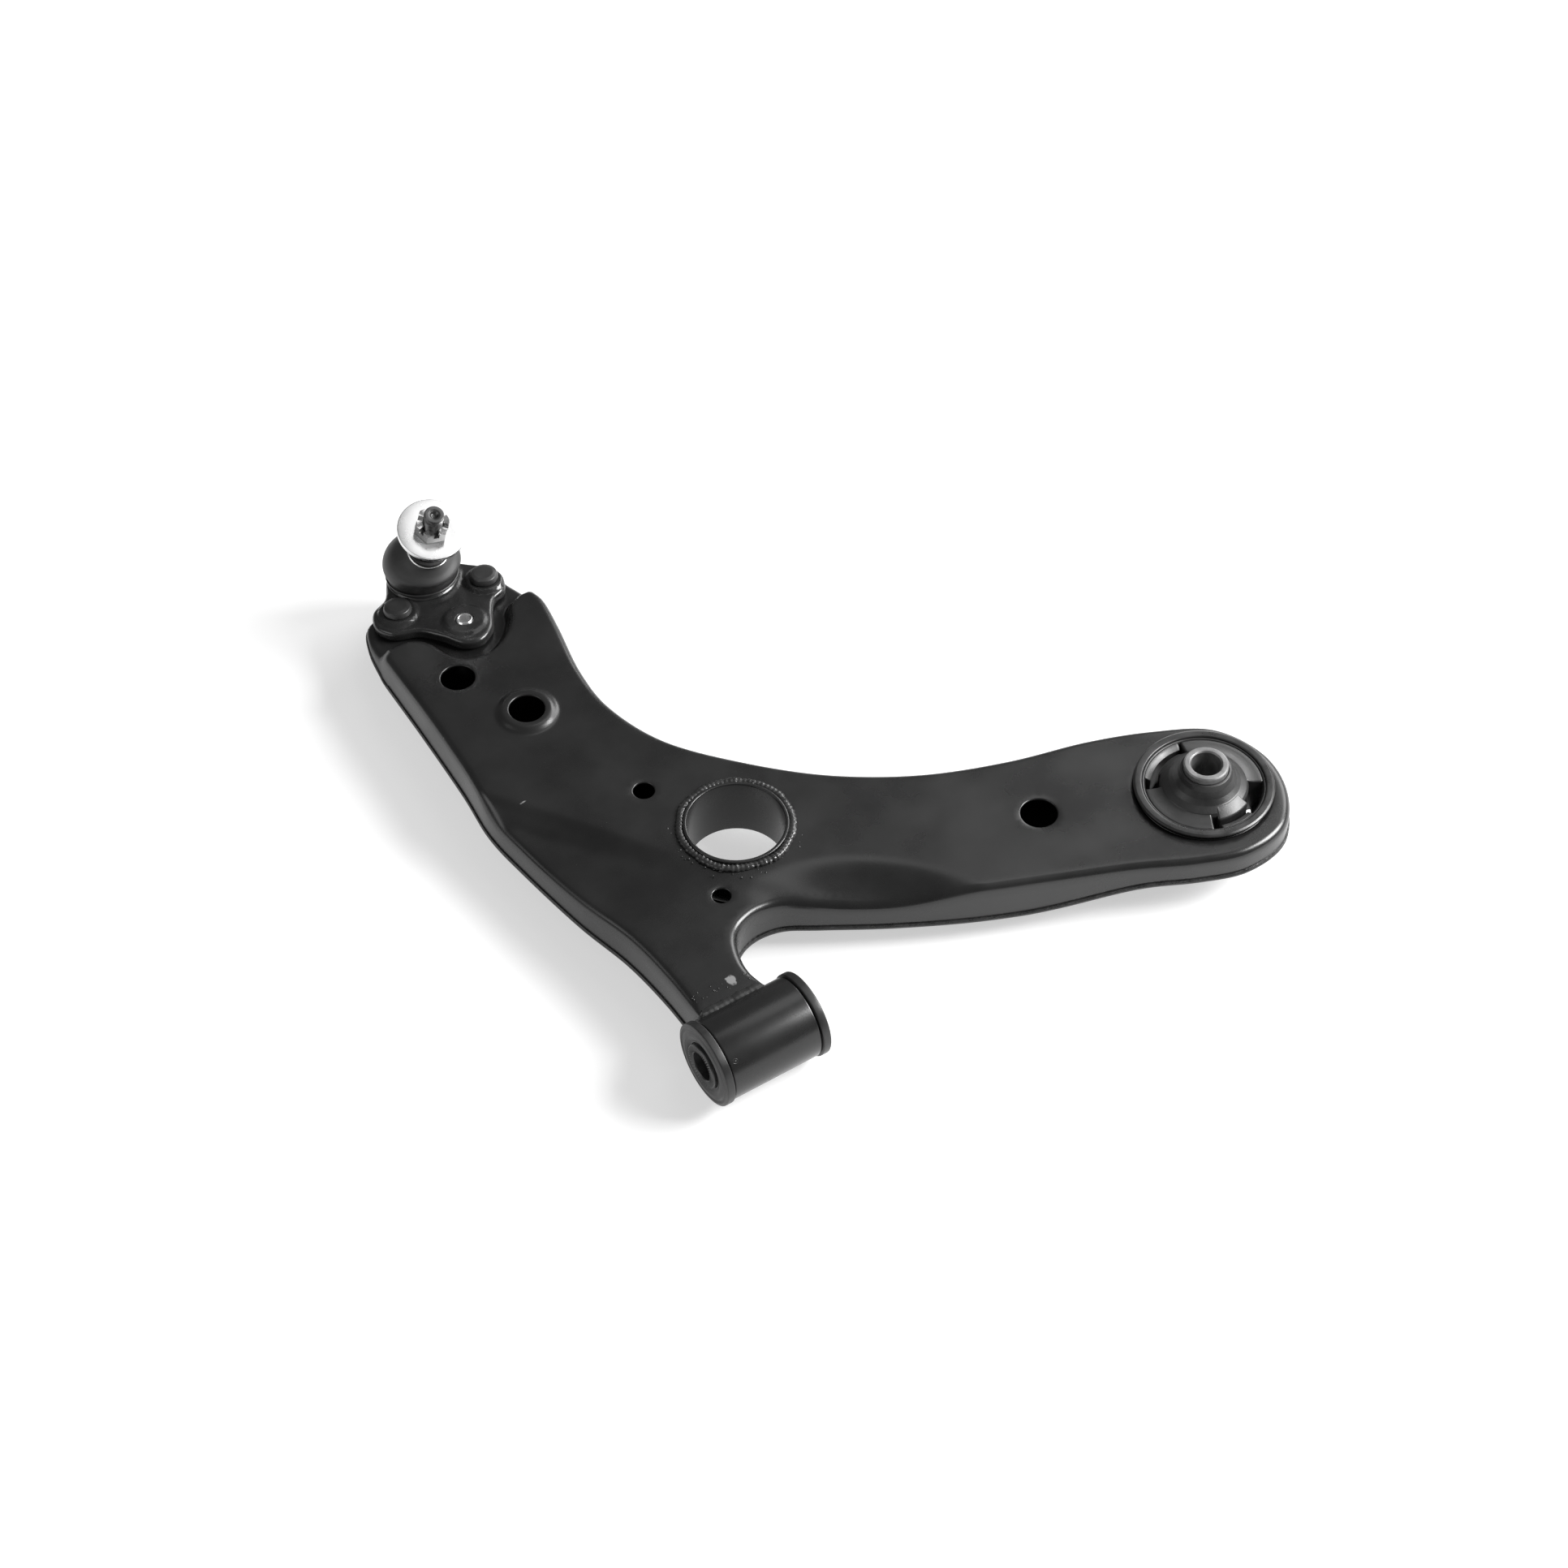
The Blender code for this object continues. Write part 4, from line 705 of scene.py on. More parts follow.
def plate(name, loop, holes, top, bottom, radius, step, hole_round=0.5, turns=(0, 30, 60, 90)):
    """A closed plate with rounded edges. top and bottom give the heights of its two faces."""
    insets = [radius * (1 - cos(radians(turn))) for turn in turns]
    drops = [radius * (1 - sin(radians(turn))) for turn in turns]
    outer = [inset_ring(loop, np.full(len(loop), inset))[0] for inset in insets]
    hole_insets = [hole_round * (1 - cos(radians(turn))) for turn in reversed(turns)]
    hole_drops = [hole_round * (1 - sin(radians(turn))) for turn in reversed(turns)]
    rings = [[hole_ring(x, y, r + inset, max(20, round(r * 3))) for inset in hole_insets]
             for x, y, r in holes]
    points, triangles, slices = net(outer, rings, step)
    drop = np.zeros(len(points))
    for piece_of, amount in zip(slices, drops + hole_drops * len(holes)):
        drop[piece_of] = amount
    x, y = points[:, 0], points[:, 1]
    count = len(points)
    verts = [(a, b, c) for a, b, c in zip(x, y, top(x, y) - drop)]
    verts += [(a, b, c) for a, b, c in zip(x, y, bottom(x, y) + drop)]
    faces = triangles + [[i + count for i in reversed(face)] for face in triangles]
    rims = [slices[0]] + [slices[len(turns) * (k + 2) - 1] for k in range(len(holes))]
    for rim in rims:
        for i, j in zip(rim, rim[1:] + rim[:1]):
            faces.append([i, j, j + count, i + count])
    return as_mesh(name, verts, faces)


# %% Beads and wires
def bead(name, path, radius, wide=1.0, tall=1.0, ripple=2.2, roughness=0.0, seed=0.0, closed=False, sides=12):
    """A tube along a path, with the ripples of a weld where roughness is above 0."""
    path = [Vector(p) for p in path]
    count = len(path)
    verts, faces = [], []
    run = 0.0
    for i, here in enumerate(path):
        ahead = path[(i + 1) % count] if closed or i < count - 1 else here
        behind = path[i - 1] if closed or i else here
        along = (ahead - behind).normalized()
        side = along.cross(Vector((0, 0, 1))).normalized()
        up = side.cross(along).normalized()
        run += (here - path[i - 1]).length if i else 0.0
        swell = noise.noise(Vector((run / 6.0, seed, 0.0))) * 0.9 + 0.35 * sin(2 * pi * run / ripple)
        size = radius * (1.0 + roughness * swell)
        if not closed:
            size *= sqrt(max(0.04, min(1.0, i / 4.0, (count - 1 - i) / 4.0)))
        for k in range(sides):
            angle = 2 * pi * k / sides
            lump = 1.0 + roughness * 0.5 * noise.noise(Vector((run / 1.6, seed + 5.0, cos(angle) * 2)))
            sideways = side * (cos(angle) * size * wide * lump)
            verts.append(here + sideways + up * (sin(angle) * size * tall * lump))
    for i in range(count if closed else count - 1):
        a, b = i * sides, ((i + 1) % count) * sides
        for k in range(sides):
            j = (k + 1) % sides
            faces.append([a + k, a + j, b + j, b + k])
    if not closed:
        faces.append(list(range(sides)))
        faces.append(list(range((count - 1) * sides, count * sides)))
    return as_mesh(name, verts, faces)


# %% Prisms and cuts
def hexagon(across_flats):
    """The corners of a hexagon."""
    return arc((0.0, 0.0), across_flats / sqrt(3), 0.0, 300.0, 5)


def prism(name, loop, low, high):
    """A straight prism over a loop."""
    count = len(loop)
    verts = [(x, y, low) for x, y in loop] + [(x, y, high) for x, y in loop]
    faces = [list(range(count)), list(range(count, 2 * count))]
    faces += [[i, (i + 1) % count, (i + 1) % count + count, i + count] for i in range(count)]
    return as_mesh(name, verts, faces)


def carved(mesh, cuts, bevel=0.25):
    """A mesh after a list of (operation, mesh) cuts, its sharp edges broken."""
    obj = loose(mesh)
    tools = [loose(tool) for _, tool in cuts]
    for (operation, _), tool in zip(cuts, tools):
        modifier = obj.modifiers.new(operation.lower(), "BOOLEAN")
        modifier.operation = operation
        modifier.object = tool
    edge = obj.modifiers.new("edge", "BEVEL")
    edge.width = bevel * MM
    edge.segments = 2
    edge.limit_method = "ANGLE"
    edge.angle_limit = radians(35)
    result = baked(obj)
    for tool in tools:
        bpy.data.objects.remove(tool, do_unlink=True)
    return result


print("mesh tools ready")

# %% [markdown]
# ## The two pressings
# The arm is stamped from flat sheet. The upper pressing is a shallow tray turned over: a top
# face with a step beside the neck, a slope down to the crotch, a pocket for the ball joint, a
# raised boss round one hole, a rolled edge and side walls. It could be sculpted by hand, but
# a formula for the height of the top face keeps every bend clean and at its place.

# %% Outline of the arm
SHEET = 2.8
EDGE_RADIUS = 4.5
OUTLINE_STEP = 2.4
NECK_END = 21.6
TUBE_PLACE = (64.5, 119.0)
TUBE_RADIUS = 29.5
NOTCH_RADIUS = 21.5

right_side = [
    (17, NECK_END), (17, 38), (24, 55), (38, 62.5), (56, 61), (75, 50), (108, 30), (148, 9),
    (190, -9), (230, -26), (262, -42), (290, -51), (318, -46), (336, -24), (340.5, 4), (328, 33),
    (298, 51), (262, 65), (217, 77), (172, 95), (130, 122), (95, 156), (66, 194), (53.5, 232),
    (54, 266), (62, 303), (66, 325), (65, 335), (63, 344), (57, 362), (47, 373)]
left_side = [
    (-16, 376), (-27, 371), (-33, 357), (-34, 344), (-34.6, 336), (-36.5, 290), (-39.5, 240),
    (-43, 205), (-40.5, 172), (-34, 124), (-26, 86), (-23, 52), (-23, NECK_END)]
notch = arc(BALL[:2], NOTCH_RADIUS, -32.0, -148.0, 20)
neck_end = np.stack([np.linspace(-23, 17, 18)[1:-1], np.full(16, NECK_END)], 1)
outline = np.concatenate([splined(right_side, False, OUTLINE_STEP), notch,
                          splined(left_side, False, OUTLINE_STEP), neck_end])
print("outline points:", len(outline))

# %% Heights of the top face
TOP = 42.0
HOLES = [(11.6, 254.2, 10.2), (-7.5, 299.0, 9.8), (35.4, 168.0, 6.0), (31.4, 82.0, 5.1),
         (208.8, 34.7, 10.3)]
BOSS_HOLE = HOLES[0]
BOSS_HEIGHT = 2.6
BOSS_TOP, BOSS_FOOT = 13.2, 18.6
BOLT_PLACES = {"left": (-9.5, 364.5), "right": (45.5, 360.0), "inner": (19.0, 337.0)}
SEAT_DROP = 7.3
POCKET_WALL = 6.0
NECK_BEND, NECK_DROP, NECK_RUN = (-36.0, 214.0), 7.0, 17.0
SHEET_GAP = 0.7
RIM_RISE_FROM, RIM_RISE_RUN = 338.0, 28.0
BOLT_PAD, BOLT_PAD_RUN = 12.0, 14.0
CROTCH, CROTCH_DROP = (97.0, 26.0), 9.0

pocket = splined([(-60, 339), (-28, 339.5), (-15.7, 338.5), (-8.5, 332), (-3.5, 318), (4.3, 309.0),
                  (15.9, 305.8), (26, 308), (36, 314.5), (43.5, 323), (48, 331), (55, 335.5),
                  (66, 336.0), (95, 336), (95, 420), (-60, 420)], True, 2.0)


def seat_level(y):
    """The flat seat under the ball joint, which leans with the joint."""
    return BALL.z - SEAT_DROP / cos(HOUSING_LEAN) - (y - BALL.y) * tan(HOUSING_LEAN)


def plateau_level(x, y):
    """The top face before the pocket is sunk into it."""
    level = TOP - 2.0 * smooth((y - 270.0) / 60.0)
    across = -0.817 * (x - NECK_BEND[0]) - 0.576 * (y - NECK_BEND[1])
    along = 0.576 * (x - NECK_BEND[0]) - 0.817 * (y - NECK_BEND[1])
    level = level - NECK_DROP * smooth(across / NECK_RUN) * (1 - 0.75 * smooth((along - 40.0) / 90.0))
    reach = np.hypot((x - CROTCH[0]) / 62.0, (y - CROTCH[1] + 0.55 * (x - CROTCH[0])) / 46.0)
    level = level - CROTCH_DROP * (1 - smooth((reach - 0.22) / 0.78))
    from_boss = np.hypot(x - BOSS_HOLE[0], y - BOSS_HOLE[1])
    level = level + BOSS_HEIGHT * (1 - smooth((from_boss - BOSS_TOP) / (BOSS_FOOT - BOSS_TOP)))
    return level


def top_level(x, y):
    """The top face with its pocket."""
    spots = np.stack([x, y], 1)
    depth = nearest(pocket, spots) * np.where(inside(pocket, spots), 1.0, -1.0)
    high = plateau_level(x, y)
    return high + (np.minimum(seat_level(y), high) - high) * smooth(depth / POCKET_WALL)


def clamp_level(y):
    """The underside of the lower pressing where the bolts clamp it."""
    return seat_level(y) - 2 * SHEET - SHEET_GAP


def rim_level(x, y):
    """The underside of the lower pressing along the seam."""
    level = 14.0 + 10.0 * smooth((x - 170.0) / 80.0)
    return level + (clamp_level(y) - level) * smooth((y - RIM_RISE_FROM) / RIM_RISE_RUN)


def belly_level(x, y):
    """The underside of the lower pressing, which bulges a little away from the seam."""
    inset = nearest(outline, np.stack([x, y], 1))
    bulge = 5.0 * smooth(inset / 22.0) * (1 - smooth((x - 150.0) / 80.0))
    level = rim_level(x, y) - bulge * (1 - smooth((y - 200.0) / 60.0))
    from_bolt = np.min([np.hypot(x - bx, y - by) for bx, by in BOLT_PLACES.values()], axis=0)
    return level + (clamp_level(y) - level) * (1 - smooth((from_bolt - BOLT_PAD) / BOLT_PAD_RUN))


# %% [markdown]
# The net of the upper pressing is finer round the pocket and the boss, where the sheet bends
# in a few millimetres. Holes get a small rolled edge. Solidify then gives the sheet its
# thickness on the inside.

# %% Upper pressing
NET_STEP, NET_FINE = 3.0, 1.3
BREAK = 0.8
TUBE_HOLE = TUBE_RADIUS + 0.9
SEAT_HOLE = 38.6
BOLT_HOLE = 5.6


def bend_zone(points):
    """Where the net is fine: along the pocket's wall and the boss."""
    near_pocket = nearest(pocket, points) < POCKET_WALL + 1.5
    from_boss = np.hypot(points[:, 0] - BOSS_HOLE[0], points[:, 1] - BOSS_HOLE[1])
    return (near_pocket & (points[:, 1] > 300)) | (from_boss < BOSS_FOOT + 2)


def broken_hole(x, y, radius, count):
    """Rings of a hole with a small rolled edge, towards the hole."""
    return [hole_ring(x, y, radius + inset * BREAK, count) for inset in (1.0, 0.5, 0.13, 0.0)]


BROKEN_DROPS = [0.0, 0.13 * BREAK, 0.5 * BREAK, BREAK]


def make_upper():
    """The upper pressing as a mesh."""
    x, y = outline[:, 0], outline[:, 1]
    top = top_level(x, y)
    room = top - rim_level(x, y) - SHEET - 0.3
    roll = np.minimum(EDGE_RADIUS, 0.7 * room)
    roll = np.where(x < 30.0, np.minimum(roll, 0.5 + 0.5 * (y - NECK_END)), roll)
    turns = np.radians(np.arange(0, 91, 15))
    outer, drops = [], []
    for turn in turns:
        ring, kept = inset_ring(outline, roll * (1 - np.cos(turn)))
        outer.append(ring)
        drops.append((roll * (1 - np.sin(turn)))[kept])
    holes = [broken_hole(*TUBE_PLACE, TUBE_HOLE, 110), broken_hole(BUSH_SPACING, 0.0, SEAT_HOLE, 130)]
    holes += [broken_hole(hx, hy, radius, 40) for hx, hy, radius in HOLES]
    hole_drops = BROKEN_DROPS * len(holes)
    holes += [[hole_ring(bx, by, BOLT_HOLE, 24)] for bx, by in BOLT_PLACES.values()]
    hole_drops += [0.0] * len(BOLT_PLACES)
    points, triangles, slices = net(outer, holes, NET_STEP, NET_FINE, bend_zone)
    height = top_level(points[:, 0], points[:, 1])
    for k, drop in enumerate(drops):
        height[slices[k]] -= drop
    for ring, drop in zip(slices[len(outer):], hole_drops):
        height[ring] -= drop
    sway = [noise.noise(Vector((px / 34.0, py / 34.0, 3.0))) for px, py in points]
    height += 0.16 * np.array(sway)
    verts = [(a, b, c) for (a, b), c in zip(points, height)]
    faces = [list(face) for face in triangles]
    bottom = rim_level(x, y) + SHEET + 0.3
    above = slices[0]
    for share in (0.25, 0.5, 0.75, 1.0):
        row = list(range(len(verts), len(verts) + len(above)))
        first = slices[0]
        for i, (px, py) in enumerate(outline):
            start_height = height[first[i]]
            verts.append((px, py, start_height + (bottom[i] - start_height) * share))
        for i in range(len(row)):
            j = (i + 1) % len(row)
            faces.append([above[i], above[j], row[j], row[i]])
        above = row
    mesh = as_mesh("upper_pressing", verts, faces)
    tallest = max(mesh.polygons, key=lambda face: abs(face.normal.z))
    if tallest.normal.z < 0:
        mesh.flip_normals()
    obj = loose(mesh)
    thick = obj.modifiers.new("sheet", "SOLIDIFY")
    thick.thickness = SHEET * MM
    thick.offset = -1.0
    thick.use_even_offset = True
    return baked(obj)


HOUSING_RADIUS, HOUSING_HALF = 23.2, 27.2
NECK_FIT, NECK_FIT_RUN = 23.35, 16.0


def meet_tube(mesh):
    """Bend the end of the neck to the round of the front tube."""
    for vertex in mesh.vertices:
        x, y, z = vertex.co / MM
        if x < 30.0 and y < NECK_END + NECK_FIT_RUN:
            surface = sqrt(NECK_FIT ** 2 - (z - front_bush.z / MM) ** 2)
            near = 1.0 - float(smooth((y - NECK_END) / NECK_FIT_RUN))
            vertex.co.y += (surface - NECK_END) * near * MM
    return mesh


upper = piece(meet_tube(make_upper()), drawing, arm_paint, "arm", ["upper_shell"])
print("upper pressing:", len(upper.data.polygons), "faces")

# %% [markdown]
# The lower pressing closes the arm. Its edge stands out a little past the walls of the upper
# one, which leaves a ledge for the seam weld, and it bulges slightly between the edges.

# %% Lower pressing
LEDGE = 0.9


def belly_top(x, y):
    """The inner face of the lower pressing."""
    return belly_level(x, y) + SHEET


lower_loop = inward(outline, np.full(len(outline), -LEDGE))
lower_holes = [(*TUBE_PLACE, TUBE_HOLE), (BUSH_SPACING, 0.0, SEAT_HOLE)]
lower_holes += [(x, y, BOLT_HOLE) for x, y in BOLT_PLACES.values()]
lower_mesh = plate("lower_pressing", lower_loop, lower_holes, belly_top, belly_level, 1.1, 6.0, 0.6)
lower = piece(meet_tube(lower_mesh), drawing, arm_paint, "arm", ["lower_shell"])
print("lower pressing:", len(lower.data.polygons), "faces")

# %% [markdown]
# ## Tubes and welds
# A tube runs through the middle of the arm and stiffens it, and a second, lying along the
# pivot line, houses the front bush. A robot welds both to the pressings. A weld is a chain of
# small frozen puddles, so each bead swells and shrinks along its path; by hand it gets lumpy.

# %% Tubes
tube_frame = Matrix.Translation(drawing @ (Vector((*TUBE_PLACE, 0.0)) * MM))
tube_low, tube_high = (corner.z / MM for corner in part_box("centre_tube"))
tube_corners = ring_corners(TUBE_RADIUS - 2.2, TUBE_RADIUS, tube_low, tube_high, 0.8)
centre_tube = turned("centre_tube_skin", rounded(tube_corners), 128)
piece(centre_tube, tube_frame, tube_paint, "arm", ["centre_tube"])

housing_corners = ring_corners(HOUSING_RADIUS - SHEET, HOUSING_RADIUS, -HOUSING_HALF, HOUSING_HALF, 0.9)
front_tube = turned("front_housing_skin", rounded(housing_corners), 128)
piece(front_tube, front_frame, tube_paint, "arm", ["front_bush_housing"])

seat_low, seat_high = (corner.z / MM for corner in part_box("rear_bush_seat"))
seat_tube = turned("rear_seat_skin", rounded(ring_corners(36.3, 38.3, seat_low, seat_high, 0.7)), 128)
piece(seat_tube, rear_frame, tube_paint, "arm", ["rear_bush_seat"])
print(f"centre tube from {tube_low:.1f} to {tube_high:.1f} mm")


# %% Welds
def ring_path(centre, radius, height, count, wander=0.0, seed=0.0):
    """A circle that wanders a little, as a hand-held torch does."""
    out = []
    for k in range(count):
        angle = 2 * pi * k / count
        drift = wander * noise.noise(Vector((cos(angle) * 2.2, sin(angle) * 2.2, seed)))
        reach = radius + drift
        out.append((centre[0] + reach * cos(angle), centre[1] + reach * sin(angle), height))
    return out


tube_weld = bead("centre_tube_weld", ring_path(TUBE_PLACE, 31.3, TOP + 0.4, 260, 1.2, 2.0), 2.0,
                 wide=1.15, tall=0.8, ripple=2.6, roughness=0.32, seed=4.0, closed=True)
piece(tube_weld, drawing, weld_paint, "arm")


def neck_weld_path():
    """Along the top of the neck where it meets the front tube, dipping at both corners."""
    out = []
    for x in np.linspace(-24.5, 18.5, 44):
        height = plateau_level(np.array([x]), np.array([24.0]))[0]
        drop = 8.0 * smooth((abs(x + 3.0) - 17.5) / 4.5)
        level = height - 0.4 - drop
        out.append((x, sqrt(max(4.0, HOUSING_RADIUS ** 2 - (level - front_bush.z / MM) ** 2)) + 0.9, level))
    return out


neck_weld = bead("neck_weld", neck_weld_path(), 2.4, wide=1.3, tall=0.6, ripple=3.2, roughness=0.2, seed=9.0)
piece(neck_weld, drawing, weld_paint, "arm")
for label, x, seed in (("left", -23.6, 1.0), ("right", 17.6, 6.0)):
    heights = np.linspace(29.0, 13.0, 16)
    path = [(x, sqrt(HOUSING_RADIUS ** 2 - (z - front_bush.z / MM) ** 2) + 0.4, z) for z in heights]
    side_weld = bead(f"neck_weld_{label}", path, 2.2, ripple=2.4, roughness=0.25, seed=seed)
    piece(side_weld, drawing, weld_paint, "arm")


def seam_path(first, last):
    """Points of the seam between two fractions of the outline's length."""
    count = len(outline)
    steps = int((last - first) * count * 4)
    spots = np.linspace(first, last, steps) * count
    low = np.floor(spots).astype(int)
    share = (spots - low)[:, None]
    places = outline[low % count] * (1 - share) + outline[(low + 1) % count] * share
    xs, ys = places[:, 0], places[:, 1]
    return [(x, y, z) for x, y, z in zip(xs, ys, rim_level(xs, ys) + SHEET + 0.1)]


far_right = np.argmax((outline[:, 1] > 330) & (outline[:, 0] > 40)) / len(outline)
far_left = 1.0 - np.argmax((outline[::-1, 1] > 338) & (outline[::-1, 0] < 0)) / len(outline)
for label, first, last, seed in (("right", 0.004, far_right, 3.0), ("left", far_left, 0.968, 8.0)):
    seam = bead(f"seam_weld_{label}", seam_path(first, last), 1.0, wide=1.0, tall=0.8, ripple=3.4,
                roughness=0.08, seed=seed, sides=8)
    piece(seam, drawing, weld_paint, "arm")
print("welds in place")

# %% [markdown]
# Robots spit small drops of steel. A few land beside each weld and are painted over with the
# rest. On the bead and the drops the most convex places are painted lighter: partly bare steel
# where flakes of paint have come off, partly painted glints that stand in for highlights.


# %% Spatter, bare flakes and painted glints
def drop_mesh(name, spots):
    """Small flattened balls at (x, y, z, radius)."""
    bm = bmesh.new()
    for x, y, z, radius in spots:
        grown = bmesh.ops.create_icosphere(bm, subdivisions=2, radius=radius * MM)
        bmesh.ops.scale(bm, verts=grown["verts"], vec=(1.0, 1.0, 0.6))
        bmesh.ops.translate(bm, verts=grown["verts"], vec=Vector((x, y, z)) * MM)
    mesh = bpy.data.meshes.new(name)
    bm.to_mesh(mesh)
    bm.free()
    return mesh


chance = np.random.default_rng(7)
drops = []
for _ in range(26):
    angle = radians(chance.uniform(150, 330))
    reach = TUBE_RADIUS + chance.uniform(4.5, 9.0)
    x, y = TUBE_PLACE[0] + reach * cos(angle), TUBE_PLACE[1] + reach * sin(angle)
    drops.append((x, y, TOP - 0.1, chance.uniform(0.25, 0.75)))
for _ in range(18):
    x, y = chance.uniform(-20, 16), chance.uniform(24.5, 33.0)
    z = float(plateau_level(np.array([x]), np.array([y]))[0])
    drops.append((x, y, z, chance.uniform(0.25, 0.6)))
piece(drop_mesh("weld_spatter", drops), drawing, weld_paint, "arm")
print("spatter drops:", len(drops))

# %% [markdown]
# ## The front bush
# Rubber is bonded between an outer steel can and an inner sleeve, and at each end it spreads
# into a flange that keeps grit out. Its face is moulded with a groove round the sleeve and a
# raised ring. The ends of the sleeve are serrated, to bite into the car's bracket.

# %% Front bush rubber
FLANGE_IN = 27.5


def flange_end(sign):
    """The outline of one flange, from its bore to its back, mirrored by the sign."""
    corners = [(13.3, 32.2, 0.2), (14.0, 32.0, 0.4), (15.6, 33.0, 0.5), (17.5, 33.5, 0.8),
               (19.6, 33.3, 0.6), (20.8, 32.7, 0.6), (22.2, 33.1, 0.6), (24.2, 32.4, 0.9),
               (24.2, 28.0, 0.6), (22.4, FLANGE_IN, 0.2)]
    return [(r, sign * z, radius) for r, z, radius in corners]


rubber_end = rounded(flange_end(1) + [(18.3, FLANGE_IN, 0.1), (13.3, FLANGE_IN, 0.1)])
for label, turn in (("front", 180), ("rear", 0)):
    place = front_frame @ Matrix.Rotation(radians(turn), 4, "X")
    stands_for = ["front_bush_rubber"] if label == "front" else []
    piece(turned(f"rubber_flange_{label}", rubber_end, 128), place, bush_rubber, "arm", stands_for)
rubber_core = rounded(ring_corners(13.3, 18.6, -FLANGE_IN, FLANGE_IN, 0.3))
piece(turned("front_rubber_core", rubber_core, 96), front_frame, bush_rubber, "arm")

# %% Front bush sleeve
SLEEVE_END = 34.3
TEETH = 44


def serrated(r, angle, z):
    """Radial teeth in the two end faces."""
    if 8.9 < r < 11.7 and abs(z) > SLEEVE_END - 0.4:
        rise = 0.55 * abs(((angle * TEETH / (2 * pi)) % 1.0) * 2 - 1)
        return r, z - (rise if z > 0 else -rise)
    return r, z


sleeve_corners = [(8.3, SLEEVE_END - 0.6, 0.1), (8.8, SLEEVE_END, 0.1), (9.0, SLEEVE_END, 0.0),
                  (11.6, SLEEVE_END, 0.0), (12.6, SLEEVE_END, 0.2),
                  (13.0, SLEEVE_END - 0.6, 0.2)]
sleeve_outline = rounded(sleeve_corners + [(r, -z, radius) for r, z, radius in reversed(sleeve_corners)], 2)
front_sleeve = turned("front_sleeve_skin", sleeve_outline, TEETH * 6, serrated)
piece(front_sleeve, front_frame, dark_steel, "front_sleeve", ["front_bush_sleeve"], 25.0)

# %% [markdown]
# A small plug closes the vent hole that lets paint drain out of the tube.

# %% Vent plug
VENT_ALONG, VENT_ANGLE, VENT_RADIUS = -23.5, -47.0, 1.15
vent_out = Matrix.Rotation(radians(VENT_ANGLE), 4, "X")
vent_place = Matrix.Translation(front_bush + Vector((VENT_ALONG * MM, 0, 0))) @ vent_out.inverted()
vent = turned("vent_plug", rounded([(0.0, 0.35, 0), (0.55, 0.3, 0.1), (0.75, -0.05, 0.1),
                                    (VENT_RADIUS, -0.05, 0.1), (VENT_RADIUS + 0.3, 0.18, 0.1),
                                    (VENT_RADIUS + 0.5, -0.3, 0), (0.0, -0.3, 0)], 3, False), 32)
piece(vent, vent_place @ Matrix.Translation((0, 0, HOUSING_RADIUS * MM)), weld_paint, "arm")
print("front bush built")

# %% [markdown]
# ## The rear bush
# The rear bush stands upright in the wide end of the arm. A steel can with a turned-out lip
# holds rubber, and two openings in the rubber let its sleeve move far along one direction and
# little along the other. The rubber rises to the sleeve as a cone, and two thick legs join it
# to the ring. Between them, bumpers on the cone meet stops on the ring when the bush is pushed
# to its limit.

# %% Rear can
LIP_TOP = 46.0
can_low = seat_low - 2.0
can_corners = [(34.2, LIP_TOP, 1.2), (38.1, LIP_TOP, 0.5), (39.3, LIP_TOP - 0.7, 0.6),
               (39.3, LIP_TOP - 1.9, 0.4), (37.2, LIP_TOP - 2.1, 0.9), (36.0, LIP_TOP - 3.4, 0.8),
               (36.0, can_low, 0.5), (34.2, can_low, 0.3)]
rear_can = turned("rear_can_skin", rounded(can_corners), 160)
piece(rear_can, rear_frame, can_steel, "arm", ["rear_bush_can"])

# %% [markdown]
# Every block of rubber in this bush lies between two angles, so one function makes them all:
# a section of (radius, top, bottom) stations swept through the angles, its edges rounded.


# %% Rubber blocks
def sector(name, start_angle, end_angle, stations, soft=1.2):
    """A block between two angles; stations run outwards as (r, top, bottom)."""
    count = max(6, int(abs(end_angle - start_angle) / 3))
    loop = [(r, top) for r, top, _ in stations] + [(r, low) for r, _, low in reversed(stations)]
    ring = len(loop)
    verts = [(r * cos(a), r * sin(a), z)
             for a in np.radians(np.linspace(start_angle, end_angle, count + 1)) for r, z in loop]
    faces = [list(range(ring)), list(range(count * ring, (count + 1) * ring))]
    for a in range(count):
        for k in range(ring):
            j = (k + 1) % ring
            faces.append([a * ring + k, a * ring + j, (a + 1) * ring + j, (a + 1) * ring + k])
    obj = loose(as_mesh(name, verts, faces))
    edge = obj.modifiers.new("edge", "BEVEL")
    edge.width = soft * MM
    edge.segments = 4
    edge.limit_method = "ANGLE"
    edge.angle_limit = radians(50)
    return baked(obj)


def rubber_block(name, start_angle, end_angle, stations, body, soft=1.2, stands_for=()):
    """A rubber block in its place in the rear bush."""
    mesh = sector(name, start_angle, end_angle, stations, soft)
    return piece(mesh, rear_frame, bush_rubber, body, stands_for)


